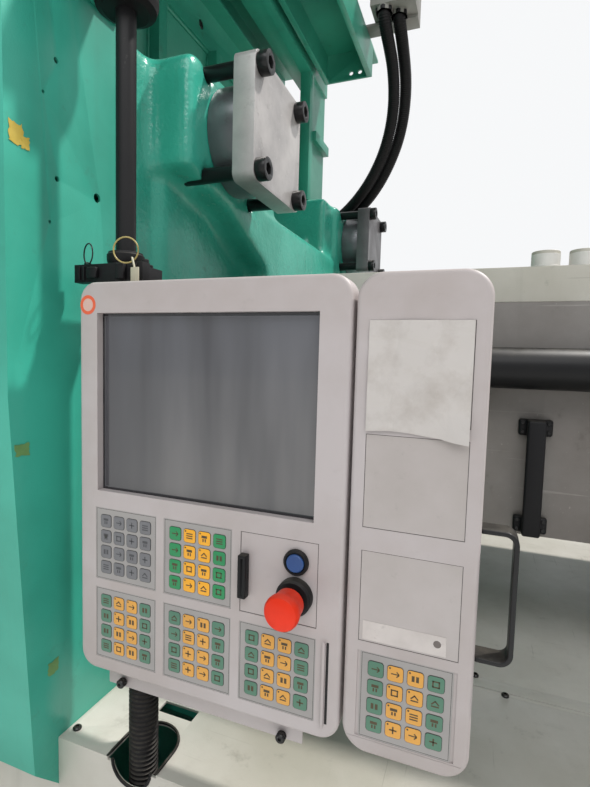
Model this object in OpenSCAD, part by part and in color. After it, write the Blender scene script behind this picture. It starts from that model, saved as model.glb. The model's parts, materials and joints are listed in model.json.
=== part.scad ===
// Horizontal injection moulding machine, millimetres, +Z up.
// X runs along the machine: clamp at the low end, injection unit at the high end.
// The operator stands on the low Y side. The origin is on the floor under the middle of the machine.

/* [Machine] */
// Height of the clamp and barrel axis above the floor
axis_z = 1505; // [1495:1:1515]
// Half of the length of the bed
half_length = 4150; // [4150:1:4200]
// Half of the width of the bed over its covers
half_width = 830; // [826:1:834]
// Height of the bed's top sheet
bed_top = 930; // [926:1:934]
// Thickness of the cover sheets
sheet = 4; // [3:0.5:4]
// Height of the frame above the floor
foot_h = 150; // [140:5:160]

/* [Platens] */
// Distance between tie bar centres across the machine
tie_span_y = 920; // [916:1:924]
// Distance between tie bar centres up and down
tie_span_z = 860; // [856:1:864]
// Diameter of a tie bar
tie_d = 140; // [130:1:142]
// Half of the width of the fixed platen
platen_half_y = 665; // [660:1:665]
// Half of the height of the fixed platen
platen_half_z = 530; // [526:1:534]
// Where the fixed platen's mould face lies
mould_face_x = -90; // [-100:1:-90]
// Rear side of the fixed platen's plate
platen_rear_x = 250; // [246:1:250]
// How far the corner bosses stand out to the rear
boss_depth = 82; // [80:1:84]
// Width of the moving and rear platens from their middle
moving_half_y = 600; // [590:1:600]
// Height of the moving and rear platens from their middle
moving_half_z = 540; // [530:1:545]
// Thickness of the moving and rear platens
moving_t = 350; // [340:5:350]
// Mould face of the moving platen at rest
moving_face_x = -1100; // [-1110:1:-1090]
// Bore for the mould's locating ring
locating_d = 200; // [160:5:200]

/* [Tie bar ends] */
// Diameter of a tie bar nut
nut_d = 200; // [190:1:204]
// Length of a tie bar nut
nut_l = 60; // [58:1:62]
// Side of the square lock plate
plate_w = 222; // [216:1:224]
// Thickness of the lock plate
plate_t = 42; // [38:1:44]
// Bolt spacing on the lock plate
plate_bolt_span = 180; // [176:1:182]
// Shank diameter of a lock plate bolt
bolt_d = 27; // [24:1:27]

/* [Clamp] */
// Diameter of the clamp ram
ram_d = 360; // [340:5:360]
// Outer diameter of the clamp cylinder
clamp_cylinder_d = 480; // [470:5:480]
// Running clearance of rams, rods and bars, on the radius
running = 0.05; // [0.02:0.01:0.1]
// Play of fixed round fits, on the diameter
fit_gap = 0.6; // [0.4:0.1:0.8]

/* [Doors] */
// Length of a sliding guard door
door_l = 1992; // [1980:1:1992]
// Thickness of a sliding guard door
door_t = 36; // [30:1:36]
// Bottom edge of the doors
door_z0 = 940; // [940:1:950]
// Top edge of the doors
door_z1 = 2170; // [2160:1:2170]
// Length of the door window
window_l = 1200; // [1000:10:1240]
// Height of the door window
window_h = 780; // [600:10:800]
// How far a door handle stands out
handle_out = 45; // [45:1:50]

/* [Front column] */
// Side face of the sheet metal column beside the fixed platen
column_x = 253; // [252:1:254]
// How far the column's front stands out past the bed
column_out = 75; // [70:1:78]
// How far the column's foot stands out past the bed
column_foot_out = 42; // [38:1:46]
// Top of the column
column_top = 2540; // [2520:5:2560]

/* [Control panel] */
// Left edge of the main housing
panel_x = 323; // [318:1:326]
// Width of the main housing
panel_w = 370; // [368:1:372]
// Bottom edge of the main housing
panel_z = 1080; // [1078:1:1082]
// Height of both housings
panel_h = 524; // [520:1:526]
// How far the panel's front stands out past the bed
panel_out = 25; // [24:1:26]
// Depth of the front frame
bezel_t = 30; // [28:1:32]
// Corner radius of the main housing
panel_r = 24; // [20:1:28]
// Width of the screen
screen_w = 304; // [300:1:306]
// Height of the screen
screen_h = 234; // [228:1:236]
// Width of one keypad
pad_w = 97; // [94:1:98]
// Height of one keypad
pad_h = 98; // [94:1:99]
// Side of one key
key_w = 17.5; // [16:0.5:18]
// Distance between key centres
key_pitch = 21; // [20:0.5:21.5]
// Width of the side housing
side_w = 134; // [130:1:134]
// Depth of the side housing
side_t = 46; // [40:1:50]
// Diameter of the pole
pole_d = 28; // [26:1:30]

/* [Injection unit] */
// Diameter of the screw
screw_d = 80; // [75:1:80]
// Outer diameter of the barrel
barrel_d = 190; // [180:1:200]
// Front side of the barrel guard
guard_y = 385; // [383:1:387]
// Bottom edge of the barrel guard
guard_z0 = 1198; // [1190:1:1204]
// Top edge of the grey shield
guard_z1 = 1624; // [1620:1:1628]
// Top of the barrel guard
guard_z2 = 1687; // [1680:1:1690]
// Diameter of a nozzle pull cylinder
pull_d = 72; // [68:1:74]
// Diameter of the hopper
hopper_d = 640; // [600:10:660]

/* [Hidden] */
$fn = 64;

MINT = [0.28, 0.68, 0.56];
CREAM = [0.80, 0.78, 0.72];
PANEL_GREY = [0.72, 0.69, 0.69];
STEEL = [0.55, 0.54, 0.52];
BLACK = [0.10, 0.10, 0.11];

SIDES = [-1, 1];
column_front = half_width + column_out;
column_foot_front = half_width + column_foot_out;
panel_front_y = half_width + panel_out;
pole_y = 50 - half_width;
frame_half_y = half_width - sheet;
frame_top = bed_top - sheet;
flange_t = 20;
flange_in_y = 500;
web_t = 20;
beam_x = half_length - sheet;
rib_t = 60;
boss_x = platen_rear_x + boss_depth;
plate_x = boss_x + nut_l;
plate_end_x = plate_x + plate_t;
tie_y = tie_span_y / 2;
tie_z = tie_span_z / 2;
tie_bore_d = tie_d + 1;

// Box between two corners
module block(x0, x1, y0, y1, z0, z1) {
  translate([x0, y0, z0]) cube([x1 - x0, y1 - y0, z1 - z0]);
}

// The same box on both sides of the middle plane
module block_pair(x0, x1, y0, y1, z0, z1) {
  for (s = SIDES) block(x0, x1, min(s * y0, s * y1), max(s * y0, s * y1), z0, z1);
}

// Cylinder along X
module rod_x(d, x0, x1, y, z) {
  translate([x0, y, z]) rotate([0, 90, 0]) cylinder(d = d, h = x1 - x0);
}

// Cylinder along Y, from its low end
module rod_y(d, x, y0, y1, z) {
  translate([x, y1, z]) rotate([90, 0, 0]) cylinder(d = d, h = y1 - y0);
}

// Cylinder along Z
module rod_z(d, x, y, z0, z1) {
  translate([x, y, z0]) cylinder(d = d, h = z1 - z0);
}

// Outline in Y and Z, drawn from X = x0 to x1
module slab_x(x0, x1) {
  translate([x0, 0, 0]) rotate([90, 0, 90]) linear_extrude(x1 - x0) children();
}

// Outline in X and Z, drawn from Y = y0 to y1
module slab_y(y0, y1) {
  translate([0, y1, 0]) rotate([90, 0, 0]) linear_extrude(y1 - y0) children();
}

// Rectangle with round corners, its low corner at the origin
module round_rect(w, h, r) {
  translate([r, 0]) square([w - 2 * r, h]);
  translate([0, r]) square([w, h - 2 * r]);
  for (x = [r, w - r], y = [r, h - r]) translate([x, y]) circle(r);
}

// Places children on the four tie bar axes
module at_tie_bars(x) {
  for (sy = SIDES, sz = SIDES) translate([x, sy * tie_y, axis_z + sz * tie_z]) children();
}

// Places children on the four bolts of each lock plate
module at_plate_bolts(x) {
  at_tie_bars(x) for (sy = SIDES, sz = SIDES)
    translate([0, sy * plate_bolt_span / 2, sz * plate_bolt_span / 2]) rotate([0, 90, 0]) children();
}

// Bed frame: side webs, flanges, cross webs and the opening for the parts chute
pack_x = 770 - half_length;
pack_bay = 780;
cross_x = [-beam_x, pack_x, pack_x + pack_bay, -1540, -90, 120, 1200, 2650, beam_x - rib_t];
chute_x0 = -1350;
chute_x1 = -250;
chute_z0 = 220;
chute_z1 = 620;
tray_t = 10;
pocket_x0 = 330;
pocket_x1 = 450;
pocket_in_y = half_width - 140;
pocket_z = 670;
cabinet_x0 = 1500;
cabinet_x1 = 2500;
cabinet_z0 = 240;
cabinet_z1 = 860;
cabinet_in_y = half_width - 130;
flange_low_y = half_width - 130;
cabinet_lap = 15;
cabinet_door_t = 20;
knuckle_d = 16;
knuckle_h = 30;
knuckle_pin_d = 10;
knuckle_gap = 9;
cabinet_hinge_x = cabinet_x0 - cabinet_lap - knuckle_gap;
cabinet_hinge_y = -half_width - cabinet_door_t / 2;
module bed_frame() color(MINT) difference() {
  union() {
    block_pair(-beam_x, beam_x, frame_half_y - web_t, frame_half_y, foot_h, frame_top);
    block_pair(-beam_x, beam_x, flange_in_y, frame_half_y, frame_top - flange_t, frame_top);
    block_pair(-beam_x, beam_x, flange_low_y, frame_half_y, foot_h, foot_h + flange_t);
    for (x = cross_x) block(x, x + rib_t, -frame_half_y, frame_half_y, foot_h, frame_top);
    block(pocket_x0, pocket_x1, -frame_half_y, -pocket_in_y, pocket_z - tray_t, pocket_z);
    block(cross_x[1], cross_x[2], -frame_half_y, frame_half_y, foot_h, foot_h + tray_t);
    block(cross_x[2], cross_x[3], -frame_half_y, frame_half_y, foot_h, foot_h + tray_t);
  }
  block(chute_x0, chute_x1, -half_width, half_width, chute_z0, chute_z1);
  block(pocket_x0, pocket_x1, -half_width, -pocket_in_y, pocket_z, bed_top);
  block(cabinet_x0, cabinet_x1, -half_width, -cabinet_in_y, cabinet_z0, cabinet_z1);
}

// Levelling feet: pad, stud and lock nut
foot_end = 200;
foot_x = [foot_end - half_length, cross_x[2] - 100, -1600, 60, 1300, 2700, half_length - foot_end];
foot_y = half_width - 67;
pad_d = 140;
foot_pad_h = 40;
stud_d = 36;
lock_nut_d = 64;
lock_nut_h = 30;
module levelling_feet() color(STEEL) for (x = foot_x, s = SIDES) translate([x, s * foot_y, 0]) {
  cylinder(d = pad_d, h = foot_pad_h);
  cylinder(d = stud_d, h = foot_h);
  translate([0, 0, foot_h - lock_nut_h]) cylinder(d = lock_nut_d, h = lock_nut_h, $fn = 6);
}

// Operator side cover of the injection bed, with the cable opening at its front edge
seam_y = 455;
skirt_z = 180;
cable_x = 388;
cable_y = half_width - 42;
cable_hole_d = 84;
cable_notch_d = 66;
slot_l = 64;
slot_w = 24;
slot_y = half_width - 116;
screw_hole_d = 7;
seam_screw_y = seam_y + 7;
cover_screws = [
  [842, 31 - seam_y], [892, -seam_screw_y], [266, 24 - half_width],
  [1400, -seam_screw_y], [2200, -seam_screw_y], [3000, -seam_screw_y]
];
module cabinet_hinge_half() {
  cylinder(d = knuckle_d, h = knuckle_h);
  cylinder(d = knuckle_pin_d, h = 2 * knuckle_h + 4);
  block(-36, 0, cabinet_door_t / 2 - sheet, cabinet_door_t / 2 + 1, 0, knuckle_h);
  block(-knuckle_d / 2, 0, 0, cabinet_door_t / 2, 0, knuckle_h);
}
module bed_cover() color(CREAM) difference() {
  union() {
    at_cabinet_hinges() cabinet_hinge_half();
    block(column_x, half_length, -half_width, -frame_half_y, skirt_z, bed_top);
    block(column_x, half_length, -half_width, -seam_y, frame_top, bed_top);
    block(beam_x, half_length, -half_width, -seam_y, skirt_z, bed_top);
  }
  rod_z(cable_hole_d, cable_x, -cable_y, frame_top - 1, bed_top + 1);
  block(cable_x - cable_hole_d / 2, cable_x + cable_hole_d / 2, -half_width - 1, -cable_y,
        frame_top - 1, bed_top + 1);
  rod_y(cable_notch_d, cable_x, -half_width - 1, -frame_half_y + 1, bed_top);
  block(cable_x - slot_l / 2, cable_x + slot_l / 2, -slot_y - slot_w / 2, -slot_y + slot_w / 2,
        frame_top - 1, bed_top + 1);
  for (p = cover_screws) if (p[1] < -seam_y) rod_z(screw_hole_d, p[0], p[1], frame_top - 1, bed_top + 1);
  block(cabinet_x0, cabinet_x1, -half_width - 1, -frame_half_y + 1, cabinet_z0, cabinet_z1);
}

// Inner top sheet between the seams
seam_gap = 3;
module bed_top_sheet() color(CREAM) difference() {
  block(column_x, half_length, -seam_y + seam_gap, seam_y - seam_gap, frame_top, bed_top);
  for (p = cover_screws) if (p[1] > -seam_y) rod_z(screw_hole_d, p[0], p[1], frame_top - 1, bed_top + 1);
}

// Rear cover of the whole bed and the lower front cover of the clamp side
module bed_side_covers() color(CREAM) difference() {
  union() {
    block(-half_length, half_length, frame_half_y, half_width, skirt_z, frame_top);
    block(column_x, half_length, seam_y, half_width, frame_top, bed_top);
    block(-half_length, column_x, -half_width, -frame_half_y, skirt_z, frame_top);
    block(-half_length, -beam_x, -half_width, half_width, skirt_z, frame_top);
    block(beam_x, half_length, -seam_y + seam_gap, half_width, skirt_z, frame_top);
  }
  block(chute_x0, chute_x1, -half_width - 1, half_width + 1, chute_z0, chute_z1);
}

// Oil tank with the pump and motor on top, inside the clamp end of the bed
tank_l = 700;
tank_half_y = 560;
tank_h = 300;
pump_z = 600;
module power_pack() color(STEEL) {
  x0 = cross_x[1] + rib_t;
  z0 = foot_h + tray_t;
  block(x0, x0 + tank_l, -tank_half_y, tank_half_y, z0, z0 + tank_h);
  block(x0 + 120, x0 + 580, -180, 180, z0 + tank_h, z0 + tank_h + 30);
  rod_x(220, x0 + 60, x0 + 420, 0, pump_z);
  rod_x(150, x0 + 420, x0 + 640, 0, pump_z);
  rod_z(60, x0 + 350, 380, z0 + tank_h, z0 + tank_h + 70);
}

// Hardened rails under the moving platen and under the injection carriage
rail_h = 20;
rail_gap = 50;
clamp_rail_y0 = 520;
clamp_rail_y1 = 600;
carriage_rail_x0 = 1700;
carriage_rail_x1 = 3900;
carriage_rail_y0 = 300;
carriage_rail_y1 = 380;
carriage_rail_h = 30;
module guide_rails() color(STEEL) {
  block_pair(rear_x1 + rail_gap, column_x0, clamp_rail_y0, clamp_rail_y1, frame_top, frame_top + rail_h);
  block_pair(carriage_rail_x0, carriage_rail_x1, carriage_rail_y0, carriage_rail_y1,
             bed_top, bed_top + carriage_rail_h);
}

// Fixed platen: plate with notched top and bottom, stepped rear face and corner bosses
notch_half_y = 200;
notch_half_z = 400;
boss_half_y = 618;
boss_half_z = 537;
boss_r = 34;
raised = [
  [-650, 560], [-200, 560], [-200, 355], [200, 355], [200, 560], [650, 560], [650, 348], [455, 304],
  [276, 215], [276, -215], [455, -304], [650, -348], [650, -560], [200, -560], [200, -355], [-200, -355],
  [-200, -560], [-650, -560], [-650, -348], [-455, -304], [-276, -215], [-276, 215], [-455, 304], [-650, 348]
];
shelf_depth = 18;
shelf_half_y = 600;
shelf_half_z = 370;
hump_depth = 66;
hump_inner_y = 300;
hump_back = 60;
fillet_r = 25;
flank_top = 500;
flank_low = 335;
edge_round = 12;
cut_half = 600;
platen_foot_y0 = 500;
nozzle_hole_d = 160;
nozzle_mouth_d = 420;
nozzle_cone_l = 200;
locating_depth = 30;
mould_bolt_d = 24;
mould_bolt_depth = 60;
mould_bolt_y = 350;
mould_bolt_z = 280;
bolt_hole_depth = 56;
module mould_bolt_holes(x0, x1) {
  for (y = [-mould_bolt_y, mould_bolt_y], z = [-mould_bolt_z, mould_bolt_z])
    rod_x(mould_bolt_d, x0, x1, y, axis_z + z);
}
module centred_round_rect(half_w, half_h, r)
  translate([-half_w, -half_h]) round_rect(2 * half_w, 2 * half_h, r);
module raised_outline() intersection() {
  polygon(raised);
  centred_round_rect(boss_half_y, boss_half_z, boss_r);
}

// Hollow fillet between the rear face and a boss flank, seen from above
arc_steps = 4;
function arc(x, y, r, a0, a1) = [for (n = [0 : arc_steps])
  let (a = a0 + n * (a1 - a0) / arc_steps) [x + r * cos(a), y + r * sin(a)]];
flank_fillet = concat(
  [[platen_rear_x - 1, boss_half_y - 1], [platen_rear_x - 1, boss_half_y + fillet_r]],
  arc(platen_rear_x + fillet_r, boss_half_y + fillet_r, fillet_r, 180, 270),
  [[platen_rear_x + fillet_r, boss_half_y - 1]]);
edge_cut = concat(
  [[boss_x + 5, boss_half_y - edge_round - 4]],
  arc(boss_x - edge_round, boss_half_y - edge_round, edge_round, 0, 90),
  [[boss_x - edge_round - 4, boss_half_y + 5], [boss_x + 5, boss_half_y + 5]]);
module stationary_platen() color(MINT) difference() {
  union() {
    translate([0, 0, axis_z]) slab_x(mould_face_x, platen_rear_x) difference() {
      translate([-platen_half_y, -platen_half_z]) square([2 * platen_half_y, 2 * platen_half_z]);
      for (s = SIDES) translate([0, s * (notch_half_z + 200)])
        square([2 * notch_half_y, 400], center = true);
    }
    translate([0, 0, axis_z]) slab_x(platen_rear_x - 1, platen_rear_x + shelf_depth)
      centred_round_rect(shelf_half_y, shelf_half_z, boss_r);
    translate([0, 0, axis_z]) slab_x(platen_rear_x - hump_back, platen_rear_x + hump_depth) raised_outline();
    translate([0, 0, axis_z]) slab_x(platen_rear_x + hump_depth - 1, boss_x) difference() {
      raised_outline();
      for (s = SIDES) translate([0, s * 460]) square([2 * hump_inner_y, 220], center = true);
    }
    for (sy = SIDES, sz = SIDES) translate([0, 0, axis_z + (sz > 0 ? flank_low : -flank_top)])
      mirror([0, sy > 0 ? 0 : 1, 0]) linear_extrude(flank_top - flank_low) polygon(flank_fillet);
    block_pair(mould_face_x, platen_rear_x - hump_back, platen_foot_y0, platen_half_y,
               frame_top, axis_z - platen_half_z + 1);
  }
  for (sy = SIDES) translate([0, 0, axis_z - cut_half]) mirror([0, sy > 0 ? 0 : 1, 0])
    linear_extrude(2 * cut_half) polygon(edge_cut);
  at_tie_bars(mould_face_x - 1) rotate([0, 90, 0]) cylinder(d = tie_bore_d, h = cut_half);
  rod_x(nozzle_hole_d, mould_face_x - 1, boss_x + 1, 0, axis_z);
  rod_x(locating_d, mould_face_x - 1, mould_face_x + locating_depth, 0, axis_z);
  translate([boss_x - nozzle_cone_l, 0, axis_z]) rotate([0, 90, 0])
    cylinder(d1 = nozzle_hole_d - 1, d2 = nozzle_mouth_d, h = nozzle_cone_l);
  mould_bolt_holes(mould_face_x - 1, mould_face_x + mould_bolt_depth);
  at_plate_bolts(boss_x - bolt_hole_depth) cylinder(d = bolt_d + fit_gap, h = bolt_hole_depth + 1);
}

// Plain platen with four tie bar bores
module plain_platen(x0, x1, bore_d) difference() {
  block(x0, x1, -moving_half_y, moving_half_y, axis_z - moving_half_z, axis_z + moving_half_z);
  at_tie_bars(x0 - 1) rotate([0, 90, 0]) cylinder(d = bore_d, h = x1 - x0 + 2);
}

// Rear platen that carries the clamp cylinder
rear_x1 = -3050;
rear_x0 = rear_x1 - moving_t;
module rear_platen() color(MINT) {
  difference() {
    plain_platen(rear_x0, rear_x1, tie_bore_d);
    rod_x(clamp_cylinder_d + fit_gap, rear_x0 - 1, rear_x1 + 1, 0, axis_z);
  }
  block_pair(rear_x0, rear_x1, flange_in_y, moving_half_y, frame_top, axis_z - moving_half_z);
}

// Four tie bars
rear_nut_l = 120;
tie_x0 = rear_x0 - rear_nut_l;
module tie_bars() color([0.75, 0.75, 0.76])
  at_tie_bars(tie_x0) rotate([0, 90, 0]) cylinder(d = tie_d, h = plate_x - tie_x0);

// Tie bar nuts at both ends
module tie_bar_nuts() color(BLACK) {
  at_tie_bars(boss_x) rotate([0, 90, 0]) difference() {
    cylinder(d = nut_d, h = nut_l);
    translate([0, 0, -1]) cylinder(d = tie_d + fit_gap, h = nut_l + 2);
  }
  at_tie_bars(tie_x0) rotate([0, 90, 0]) difference() {
    cylinder(d = nut_d, h = rear_nut_l);
    translate([0, 0, -1]) cylinder(d = tie_d + fit_gap, h = rear_nut_l + 2);
  }
}

// Square lock plates over the nuts at the fixed platen
plate_r = 16;
module lock_plates() color([0.36, 0.35, 0.36]) difference() {
  at_tie_bars(plate_x) rotate([90, 0, 90]) translate([-plate_w / 2, -plate_w / 2])
    linear_extrude(plate_t) round_rect(plate_w, plate_w, plate_r);
  at_plate_bolts(plate_x - 1) cylinder(d = bolt_d + fit_gap, h = plate_t + 2);
}

// Socket head bolts of the lock plates
bolt_head_d = 40;
bolt_head_h = 20;
hex_key = 22;
bolt_back = 50;
module lock_bolts() color(BLACK) at_plate_bolts(plate_end_x) difference() {
  union() {
    cylinder(d = bolt_head_d, h = bolt_head_h);
    translate([0, 0, boss_x - bolt_back - plate_end_x])
      cylinder(d = bolt_d, h = plate_end_x - boss_x + bolt_back + 1);
  }
  translate([0, 0, bolt_head_h / 2]) cylinder(d = hex_key, h = bolt_head_h, $fn = 6);
}

// Moving platen on its slide shoes
eject_rod_y = 270;
eject_rod_d = 40;
module moving_platen() color(MINT) {
  x0 = moving_face_x - moving_t;
  difference() {
    plain_platen(x0, moving_face_x, tie_d + 2 * running);
    for (s = SIDES) rod_x(eject_rod_d + 2 * running, x0 - 1, moving_face_x + 1, s * eject_rod_y, axis_z);
    rod_x(locating_d, moving_face_x - locating_depth, moving_face_x + 1, 0, axis_z);
    mould_bolt_holes(moving_face_x - mould_bolt_depth, moving_face_x + 1);
  }
  block_pair(x0, moving_face_x, clamp_rail_y0, clamp_rail_y1, frame_top + rail_h, axis_z - moving_half_z);
}

// Clamp cylinder through the rear platen
cylinder_x0 = -4120;
cylinder_x1 = -2950;
bore_x0 = -4070;
flange_d = 600;
flange_l = 60;
module clamp_cylinder() color(MINT) difference() {
  union() {
    rod_x(clamp_cylinder_d, cylinder_x0, cylinder_x1, 0, axis_z);
    rod_x(flange_d, rear_x1, rear_x1 + flange_l, 0, axis_z);
  }
  rod_x(ram_d + 2 * running, bore_x0, cylinder_x1 + 1, 0, axis_z);
}

// Clamp ram, bolted to the moving platen by its flange
ram_x0 = -3700;
ram_flange_d = 440;
ram_flange_l = 40;
module clamp_ram() color([0.75, 0.75, 0.76]) {
  x1 = moving_face_x - moving_t;
  rod_x(ram_d, ram_x0, x1 - ram_flange_l, 0, axis_z);
  rod_x(ram_flange_d, x1 - ram_flange_l, x1, 0, axis_z);
}

// Ejector plate around the ram, with its two rods
eject_plate_x = -1740;
eject_plate_t = 40;
eject_half_y = 330;
eject_half_z = 240;
eject_back = 30;
module ejector_plate() color(STEEL) {
  difference() {
    block(eject_plate_x, eject_plate_x + eject_plate_t, -eject_half_y, eject_half_y,
          axis_z - eject_half_z, axis_z + eject_half_z);
    rod_x(ram_d + 20, eject_plate_x - 1, eject_plate_x + eject_plate_t + 1, 0, axis_z);
  }
  for (s = SIDES) rod_x(eject_rod_d, eject_plate_x + eject_plate_t, moving_face_x - eject_back,
                        s * eject_rod_y, axis_z);
}

// Sheet metal column beside the fixed platen. Its front leans out above the foot.
column_x0 = -150;
column_lean_z = 1450;
column_foot_z = 902;
column_chin_z = 855;
column_outer = [
  [-column_foot_front, column_foot_z], [-column_front, column_lean_z], [-column_front, column_top],
  [-platen_half_y, column_top], [-platen_half_y, frame_top], [-half_width, frame_top],
  [-half_width, column_chin_z]
];
column_inner = [
  [-column_foot_front + sheet, column_foot_z + sheet], [-column_front + sheet, column_lean_z],
  [-column_front + sheet, column_top - sheet], [-platen_half_y + 1, column_top - sheet],
  [-platen_half_y + 1, frame_top + sheet], [-half_width - sheet, frame_top + sheet],
  [-half_width - sheet, column_foot_z + sheet]
];
module column_shell() difference() {
  slab_x(column_x0, column_x) polygon(column_outer);
  slab_x(column_x0 + sheet, column_x - sheet) polygon(column_inner);
}
wall_holes = [[82, 1913, 8], [82, 1754, 8], [158, 1751, 14], [69, 1692, 5], [60, 1861, 5]]; // from the front
module platen_cover_front() color(MINT) difference() {
  column_shell();
  for (h = wall_holes) rod_x(h[2], column_x - sheet - 1, column_x + 1, h[0] - column_front, h[1]);
}
// The rear cover is tall beside the mould space and low beside the nozzle
rear_cover_x = 60;
rear_cover_top = 2200;
rear_step_z = 1900;
module platen_cover_rear() color(MINT) mirror([0, 1, 0]) {
  intersection() {
    column_shell();
    slab_y(-half_length, half_length) polygon([
      [column_x0, column_chin_z], [column_x, column_chin_z], [column_x, rear_step_z],
      [rear_cover_x, rear_step_z], [rear_cover_x, rear_cover_top], [column_x0, rear_cover_top]
    ]);
  }
  block(column_x0, rear_cover_x, -column_front, -platen_half_y, rear_cover_top - sheet, rear_cover_top);
  block(rear_cover_x, column_x, -column_front, -platen_half_y, rear_step_z - sheet, rear_step_z);
  block(rear_cover_x - sheet, rear_cover_x, -column_front, -platen_half_y,
        rear_step_z - sheet, rear_cover_top);
}

// Frame above the fixed platen: ribbed wall, boxed girder, channel beams, upright and roof plate
beam_z = 2450;
roof_t = 8;
beam_far_y = 385;
beam_x0 = 80;
beam_x1 = 254;
lip_a = 44;
lip_b = 74;
channel_x0 = 274;
channel_x1 = 436;
channel_far_y = 300;
channel_lip = 16;
wall_x = 60;
girder_z = 2350;
rib_depth = 32;
rib_w = 30;
rib_ys = [-644, -389, -134, 121];
post_y = 205;
post_w = 35;
gusset_y0 = 240;
brace_z = 2245;
brace_h = 30;
girder_hole_ys = [-440, -181, 80];
module overhead_frame() color(MINT) difference() {
  union() {
    block(column_x0, channel_x1, -column_front, beam_far_y, column_top, column_top + roof_t);
    block(wall_x, wall_x + roof_t, -platen_half_y, beam_far_y, axis_z + platen_half_z, column_top);
    block(wall_x, beam_x0, -platen_half_y, beam_far_y, girder_z, column_top);
    for (y = rib_ys)
      block(wall_x, wall_x + roof_t + rib_depth, y, y + rib_w, axis_z + platen_half_z, girder_z);
    for (x = [beam_x0, beam_x1 - roof_t])
      block(x, x + roof_t, -platen_half_y, beam_far_y, beam_z, column_top);
    block(beam_x0, beam_x0 + lip_a, -platen_half_y, beam_far_y, beam_z, beam_z + roof_t);
    block(beam_x1 - lip_b, beam_x1, -platen_half_y, beam_far_y, beam_z, beam_z + roof_t);
    for (x = [channel_x0, channel_x1 - roof_t])
      block(x, x + roof_t, -column_front, channel_far_y, beam_z, column_top);
    for (x = [channel_x0, channel_x1 - channel_lip])
      block(x, x + channel_lip, -column_front, channel_far_y, beam_z, beam_z + roof_t);
    block(channel_x0, channel_x1, channel_far_y - roof_t, channel_far_y, beam_z, column_top);
    block(beam_x1 - post_w, beam_x1, post_y, post_y + post_w, axis_z + boss_half_z, beam_z);
    block(beam_x1 - 16, beam_x1 - 8, gusset_y0, beam_far_y, axis_z + boss_half_z, beam_z);
    block(beam_x1 - 8, beam_x1 + 12, post_y + post_w, beam_far_y, brace_z, brace_z + brace_h);
  }
  for (y = girder_hole_ys) rod_x(24, beam_x0 - 12, beam_x0 + 1, y, girder_z + 43);
  for (x = [channel_x1 - 70, channel_x1 - 40])
    rod_y(14, x, channel_far_y - roof_t - 1, channel_far_y + 1, beam_z + 20);
}

// End guard around the clamp cylinder, open towards the doors
end_guard_x1 = -2150;
end_guard_top = 2180;
louvre_l = 420;
louvre_h = 16;
louvre_pitch = 60;
louvre_n = 6;
louvre_x = 250 - half_length;
louvre_step = 600;
louvre_side_z = 1500;
louvre_end_z = 1300;
module end_guard() color(MINT) difference() {
  block(-half_length, end_guard_x1, -half_width, half_width, frame_top, end_guard_top);
  block(-beam_x, end_guard_x1 + 1, -frame_half_y, frame_half_y, frame_top - 1, end_guard_top - sheet);
  for (i = [0 : 2], n = [0 : louvre_n])
    translate([louvre_x + i * louvre_step, 0, louvre_side_z + n * louvre_pitch])
      block(0, louvre_l, -half_width - 1, half_width + 1, 0, louvre_h);
  for (n = [0 : louvre_n]) translate([0, 0, louvre_end_z + n * louvre_pitch])
    block(-half_length - 1, -beam_x + 1, -louvre_l, louvre_l, 0, louvre_h);
}

// Sliding guard doors on the front and the rear
door_x1 = -154;
door_x0 = door_x1 - door_l;
door_out = column_foot_front;
door_in = door_out - door_t;
window_x0 = -1750;
window_z0 = 1210;
window_t = 8;
window_r = 40;
module window_outline() translate([window_x0, window_z0]) round_rect(window_l, window_h, window_r);
module door_leaf() difference() {
  slab_y(-door_out, -door_in) difference() {
    translate([door_x0, door_z0]) square([door_l, door_z1 - door_z0]);
    window_outline();
  }
  block(door_x0 + 60, door_x1 - 60, -door_out + sheet, -door_in + 1, door_z0 + 60, window_z0 - 60);
}
module pane() slab_y(-door_in - 14 - window_t, -door_in - 14) window_outline();

// Bow handle: grip bar on two feet, standing out towards the operator
module bow_handle(x, y_face, z0, z1, out, w, t) {
  block(x - w / 2, x + w / 2, -y_face - out, -y_face - out + t, z0, z1);
  for (z = [z0, z1 - w]) block(x - w / 2, x + w / 2, -y_face - out + t, -y_face, z, z + w);
}
door_handle_x = -320;
door_handle_z0 = 1360;
door_handle_z1 = 1660;
door_handle_w = 34;
door_handle_t = 16;
module door_handle_shape() bow_handle(door_handle_x, door_out, door_handle_z0, door_handle_z1,
                                      handle_out, door_handle_w, door_handle_t);
module front_door() color(MINT) door_leaf();
module front_window() color([0.7, 0.8, 0.82, 0.4]) pane();
module front_handle() color(BLACK) door_handle_shape();
module rear_door() color(MINT) mirror([0, 1, 0]) {
  door_leaf();
  door_handle_shape();
}
module rear_window() color([0.7, 0.8, 0.82, 0.4]) mirror([0, 1, 0]) pane();

// Rails that carry and guide the doors
rail_in = half_width + 14;
rail_out = rail_in + 20;
top_rail_in = half_width - 60;
rail_foot_z = 905;
rail_foot_t = 6;
top_rail_h = 10;
module door_rails() color(STEEL) {
  block_pair(-beam_x, column_x0 - 1, rail_in, rail_out, rail_foot_z, door_z0);
  block_pair(-beam_x, column_x0 - 1, half_width, rail_in, rail_foot_z, rail_foot_z + rail_foot_t);
  block_pair(-beam_x, column_x0, rail_in, rail_out, door_z1, end_guard_top);
  block_pair(-beam_x, column_x0, top_rail_in, rail_out, end_guard_top, end_guard_top + top_rail_h);
}

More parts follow.
